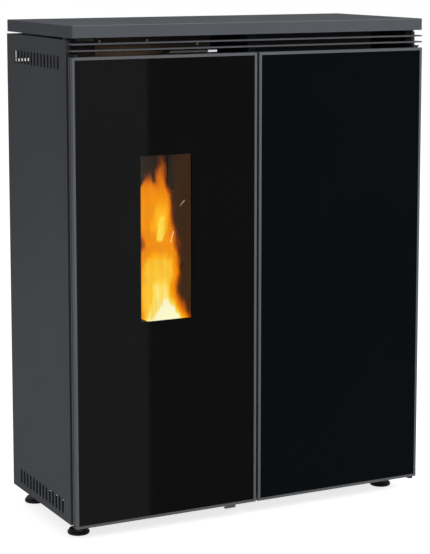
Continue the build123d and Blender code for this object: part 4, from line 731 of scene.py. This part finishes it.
def build_flame():
    """Two crossed sheets that stand in the burn pot."""
    gas = flame_gas("flame_gas", 0.0)
    flame_sheet("flame_front", "pot", gas, FLAME_ALONG, FLAME_LEFT, FLAME_RIGHT, FLAME_BOW)
    gas = flame_gas("flame_gas_rear", REAR_FLAME_DRIFT)
    across = FLAME_ALONG.cross(Vector((0, 0, 1)))
    flame_sheet("flame_rear", "pot", gas, across, REAR_FLAME_LEFT, REAR_FLAME_RIGHT, REAR_FLAME_BOW)


def spark(name, place, lean, length):
    """Thin glowing streak that flies off the flame."""
    material, nodes, links, shader = start_material(name)
    height = split_place(nodes, links)["Z"]
    fade = add_range(nodes, links, height, (place.z, place.z + length), (0.2, 1.0))
    glow = add_ramp(nodes, links, fade, ((0.0, (0.6, 0.12, 0.01)), (1.0, (1.0, 0.62, 0.25))))
    links.new(glow, shader.inputs["Emission Color"])
    shader.inputs["Emission Strength"].default_value = SPARK_STRENGTH
    shape = bmesh.new()
    bmesh.ops.create_cone(
        shape, cap_ends=True, segments=6,
        radius1=SPARK_TAIL_RADIUS, radius2=SPARK_HEAD_RADIUS, depth=length,
    )
    turn = Matrix.Rotation(lean, 4, Vector((0, 1, 0)))
    bmesh.ops.transform(shape, matrix=Matrix.Translation(place) @ turn, verts=shape.verts)
    finish_piece(shape, name, "pot", [material])


def add_pellet(shape, place, direction, length):
    """Short rod, slightly thinner at one end, added to `shape`."""
    made = bmesh.ops.create_cone(
        shape, cap_ends=True, segments=8,
        radius1=PELLET_RADIUS, radius2=PELLET_RADIUS * PELLET_TAPER, depth=length,
    )
    turn = Vector((0, 0, 1)).rotation_difference(direction).to_matrix().to_4x4()
    bmesh.ops.transform(shape, matrix=Matrix.Translation(place) @ turn, verts=made["verts"])


def random_direction(rng):
    """Any way round, tilted a little up or down."""
    angle = rng.uniform(0, 2 * math.pi)
    rise = rng.uniform(-PELLET_TILT, PELLET_TILT)
    return Vector((math.cos(angle), math.sin(angle), rise)).normalized()


def ember_bed():
    """Heap of burning pellets in the pot, highest in its middle."""
    rng = random.Random(EMBER_SEED)
    shape = bmesh.new()
    half_x, half_y = POT_INSIDE[0] / 2 - EMBER_WALL_GAP, POT_INSIDE[1] / 2 - EMBER_WALL_GAP
    for _ in range(EMBER_COUNT):
        x, y = rng.uniform(-half_x, half_x), rng.uniform(-half_y, half_y)
        mound = 1 - EMBER_FALL_X * (abs(x) / half_x) ** 2 - EMBER_FALL_Y * (abs(y) / half_y) ** 2
        top = EMBER_BASE_Z + EMBER_HEAP * mound
        z = rng.uniform(max(EMBER_DEEPEST_Z, top - EMBER_LAYER), top)
        length = rng.uniform(*EMBER_LENGTHS)
        add_pellet(shape, Vector((POT_X + x, POT_Y + y, z)), random_direction(rng), length)
    finish_piece(shape, "ember_bed", "pot", [glowing_ember()], smooth=True)


def hopper_pellets():
    """Top layer of the wood pellets in the hopper."""
    rng = random.Random(HOPPER_SEED)
    shape = bmesh.new()
    for _ in range(HOPPER_PELLET_COUNT):
        x, y = rng.uniform(HOPPER_LEFT, HOPPER_RIGHT), rng.uniform(HOPPER_NEAR, HOPPER_FAR)
        share = (x - HOPPER_LEFT) / (HOPPER_RIGHT - HOPPER_LEFT)
        dip = HOPPER_DIP * math.cos(math.pi * (share - 0.5))
        z = HOPPER_LEVEL_Z - dip + rng.uniform(-PELLET_LAYER, 0.0)
        direction = random_direction(rng)
        add_pellet(shape, Vector((x, y, z)), direction, rng.uniform(*PELLET_LENGTHS))
    finish_piece(shape, "hopper_pellets", "cabinet", [wood_pellet()], smooth=True)


def side_liner_board():
    """Brown board just off the firebox's right wall, clear of the auger, its upper rear corner notched."""
    front_y, rear_y, notch_y = FIREBOX_FRONT_Y + 0.001, 0.034, 0.012
    low_z, notch_z, high_z = HEARTH_TOP_Z + 0.001, 0.69, FIREBOX_TOP_Z - 0.002
    thick, wall_gap = 0.005, 0.0025
    outline = (
        (front_y, low_z),
        (rear_y, low_z),
        (rear_y, notch_z),
        (notch_y, notch_z),
        (notch_y, high_z),
        (front_y, high_z),
    )
    shape = bmesh.new()
    face = shape.faces.new([shape.verts.new((SIDE_WALL_X - wall_gap, y, z)) for y, z in outline])
    extruded = bmesh.ops.extrude_face_region(shape, geom=[face])
    moved = [item for item in extruded["geom"] if isinstance(item, bmesh.types.BMVert)]
    bmesh.ops.translate(shape, vec=(-thick, 0, 0), verts=moved)
    bmesh.ops.recalc_face_normals(shape, faces=shape.faces)
    board = fired_board("side_board", *SIDE_BOARD_TONES)
    finish_piece(shape, "side_liner_board", "cabinet", [board])


def turned(shape, profile, place, steps):
    """Full turn of (radius, height) points round the upright axis through `place`."""
    points = [shape.verts.new((place[0] + radius, place[1], height)) for radius, height in profile]
    edges = [shape.edges.new(pair) for pair in zip(points, points[1:])]
    bmesh.ops.spin(
        shape, geom=points + edges, cent=(place[0], place[1], 0), axis=(0, 0, 1),
        angle=2 * math.pi, steps=steps, use_merge=True,
    )


def levelling_foot(body, node, x, y, rubber, steel):
    """Rubber foot with a rounded rim, a hexagon and a threaded stem."""
    shape = bmesh.new()
    turned(shape, FOOT_PROFILE, (x, y), FOOT_STEPS)
    rubber_faces = set(shape.faces)
    hexagon = bmesh.ops.create_cone(
        shape, cap_ends=True, segments=6,
        radius1=HEXAGON_RADIUS, radius2=HEXAGON_RADIUS, depth=HEXAGON_THICK,
    )
    bmesh.ops.translate(shape, vec=(x, y, HEXAGON_MIDDLE_Z), verts=hexagon["verts"])
    threads = [(0.0, STEM_LOW_Z)]
    height = STEM_LOW_Z
    while height < STEM_HIGH_Z - STEM_PITCH:
        threads += [(STEM_ROOT, height), (STEM_CREST, height + STEM_PITCH / 2)]
        height += STEM_PITCH
    threads += [(STEM_ROOT, STEM_HIGH_Z - STEM_TIP_LENGTH), (STEM_TIP, STEM_HIGH_Z), (0.0, STEM_HIGH_Z)]
    turned(shape, threads, (x, y), STEM_STEPS)
    for face in shape.faces:
        face.material_index = 0 if face in rubber_faces else 1
    bmesh.ops.remove_doubles(shape, verts=shape.verts, dist=MERGE_DISTANCE)
    bmesh.ops.recalc_face_normals(shape, faces=shape.faces)
    finish_piece(shape, node + "_turned", body, [rubber, steel], (node,), smooth=True)


# ---------- what each CAD node is finished with

def finish_table(rubber, steel):
    """Each finish with the CAD nodes that wear it."""
    window = ((WINDOW_LEFT, WINDOW_RIGHT), (WINDOW_LOW, WINDOW_HIGH))
    return (
        (lid_paint(LID_GREY, LID_HIGHLIGHT_GREY), ("top_cover", "control_flap", "hopper_lid")),
        (textured_paint("body_paint", PANEL_GREY, roughness=0.7),
         ("side_panel_left", "side_panel_right", "base_pan")),
        (textured_paint("slat_paint", SLAT_GREY, roughness=0.5), ("slat_lower", "slat_upper")),
        (door_frame_paint(DOOR_FRAME_GREY), ("outer_door_frame", "service_door_frame")),
        (heat_black(), ("firebox", "ash_drawer", "exchanger_tubes", "pellet_chute", "hinge_brackets",
                        "corner_posts", "partition", "hopper")),
        (drawn_steel("dark_steel", DARK_TONE), ("auger_screw", "screws")),
        (cast_iron(), ("pot_holder", "burn_pot", "fire_door_casting")),
        (moulded_plastic("black_plastic", PANEL_PLASTIC_BLACK),
         ("control_panel", "room_fan_motor", "power_inlet", "rocker_switch", "thermostat", "door_magnets")),
        (printed_glass("window_door_glass", WINDOW_GLASS_BLACK, window), ("outer_door_glass",)),
        (printed_glass("plain_door_glass", PLAIN_GLASS_BLACK), ("service_door_glass",)),
        (drawn_steel("pull_steel", PULL_TONE, stretch=(60, 1, 1)), ("door_pull",)),
        (zinc_sheet(), ("rear_cover", "auger_tube", "smoke_duct", "smoke_fan_housing", "air_riser",
                        "room_fan_housing")),
        (steel, ("igniter", "glass_clips", "fire_door_handle", "hopper_guard", "smoke_impeller",
                 "flue_spigot", "air_inlet")),
        (scraper_finish(), ("scraper",)),
        (fired_board("rear_board", *REAR_BOARD_TONES), ("firebox_liner",)),
        (clear_ceramic(), ("fire_door_glass",)),
        (woven_rope(), ("fire_door_rope",)),
        (heat_browned_steel(), ("exchanger_box",)),
        (die_cast(), ("auger_motor", "smoke_fan_motor", "room_impeller")),
        (moulded_plastic("grey_plastic", SWITCH_PLASTIC_GREY), ("pressure_switch",)),
        (circuit_board(), ("control_board",)),
        (moulded_plastic("button_red", BUTTON_RED, roughness=0.3), ("reset_button",)),
        (rubber, tuple(node for node, _, _ in FEET.values())),
    )


def dress_cad_nodes(nodes, rubber, steel):
    """Gives every CAD node its one finish."""
    undressed = set(nodes)
    for material, names in finish_table(rubber, steel):
        for name in names:
            mesh = nodes[name].data
            mesh.materials.clear()
            mesh.materials.append(material)
            undressed.discard(name)
    if undressed:
        raise RuntimeError(f"no finish for {sorted(undressed)}")


BEVELLED_ANGLE = math.radians(50)
BEVEL_WIDTHS = {
    "outer_door_frame": 0.0006,
    "service_door_frame": 0.0006,
    "slat_lower": 0.0006,
    "slat_upper": 0.0006,
    "side_panel_left": 0.0005,
    "side_panel_right": 0.0005,
    "door_pull": 0.0004,
    "fire_door_casting": 0.0012,
    "fire_door_handle": 0.001,
    "pot_holder": 0.0008,
    "burn_pot": 0.0008,
}


def soften_edges(nodes):
    """Small rounded edges on the painted sheet and the castings."""
    for name, width in BEVEL_WIDTHS.items():
        bevel = nodes[name].modifiers.new("softened_edges", "BEVEL")
        bevel.width = width
        bevel.segments = 2
        bevel.limit_method = "ANGLE"
        bevel.angle_limit = BEVELLED_ANGLE


# ---------- studio

def soft_lamp(name):
    """Rectangular lamp from the table, hidden from the camera."""
    place, target, width, height, power = LAMPS[name]
    lamp = bpy.data.lights.new(name, "AREA")
    lamp.shape = "RECTANGLE"
    lamp.size = width
    lamp.size_y = height
    lamp.energy = power
    thing = bpy.data.objects.new(name, lamp)
    thing.location = place
    thing.rotation_euler = (Vector(target) - Vector(place)).to_track_quat("-Z", "Y").to_euler()
    thing.visible_camera = False
    bpy.context.scene.collection.objects.link(thing)
    return lamp


def light_studio():
    """Plain pale sky, white where it is seen, and three soft lamps."""
    world = bpy.data.worlds.new("studio")
    bpy.context.scene.world = world
    world.use_nodes = True
    nodes, links = world.node_tree.nodes, world.node_tree.links
    sky = nodes["Background"]
    sky.inputs["Color"].default_value = (1, 1, 1, 1)
    path = nodes.new("ShaderNodeLightPath").outputs
    seen = add_math(nodes, links, "MAXIMUM", path["Is Camera Ray"], path["Is Glossy Ray"])
    seen = add_math(nodes, links, "MAXIMUM", seen, path["Is Transmission Ray"])
    links.new(add_range(nodes, links, seen, (0, 1), (SKY_LIGHT, SKY_SEEN)), sky.inputs["Strength"])
    for name in ("key_front", "tall_card", "low_fill"):
        soft_lamp(name)


def fire_light():
    """Warm upright lamp at the firebox's left wall, so that the boards round the flame show."""
    soft_lamp("fire_glow").color = FIRE_GLOW_COLOUR


def pale_floor():
    """Pale floor that takes the stove's shadow, lifted to white where the camera or glass sees it."""
    mesh = bpy.data.meshes.new("floor")
    shape = bmesh.new()
    bmesh.ops.create_grid(shape, x_segments=1, y_segments=1, size=FLOOR_SIZE)
    shape.to_mesh(mesh)
    shape.free()
    floor = bpy.data.objects.new("floor", mesh)
    bpy.context.scene.collection.objects.link(floor)
    material, nodes, links, shader = start_material("floor_white")
    shader.inputs["Base Color"].default_value = (FLOOR_WHITE, FLOOR_WHITE, FLOOR_WHITE, 1)
    shader.inputs["Roughness"].default_value = 0.9
    shader.inputs["Specular IOR Level"].default_value = 0.0
    shader.inputs["Emission Color"].default_value = (1, 1, 1, 1)
    path = nodes.new("ShaderNodeLightPath").outputs
    seen = add_math(nodes, links, "MAXIMUM", path["Is Camera Ray"], path["Is Transmission Ray"])
    glow = add_range(nodes, links, seen, (0, 1), (0.0, FLOOR_SEEN_GLOW))
    links.new(glow, shader.inputs["Emission Strength"])
    mesh.materials.append(material)
    floor.visible_glossy = False


def photo_camera():
    """Camera at the photo's viewing angle, tilted down a little and shifted a little."""
    data = bpy.data.cameras.new("photo_camera")
    data.lens = CAMERA_LENS
    data.sensor_width = SENSOR
    data.shift_y = CAMERA_SHIFT_Y
    camera = bpy.data.objects.new("photo_camera", data)
    camera.location = CAMERA_PLACE
    camera.rotation_euler = (math.pi / 2 - CAMERA_PITCH, 0.0, -CAMERA_YAW)
    bpy.context.scene.collection.objects.link(camera)
    bpy.context.scene.camera = camera
    bpy.context.scene.view_settings.view_transform = "Standard"


def main():
    """Loads the frame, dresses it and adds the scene's own pieces."""
    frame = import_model()
    photo_camera()
    light_studio()
    pale_floor()
    fire_light()
    rubber = foot_rubber()
    steel = drawn_steel("bright_steel", BRIGHT_TONE)
    dress_cad_nodes(frame["nodes"], rubber, steel)
    soften_edges(frame["nodes"])
    side_liner_board()
    build_flame()
    ember_bed()
    for name, (place, lean, length) in SPARKS.items():
        spark(name, place, lean, length)
    hopper_pellets()
    for body, (node, x, y) in FEET.items():
        levelling_foot(body, node, x, y, rubber, steel)


main()
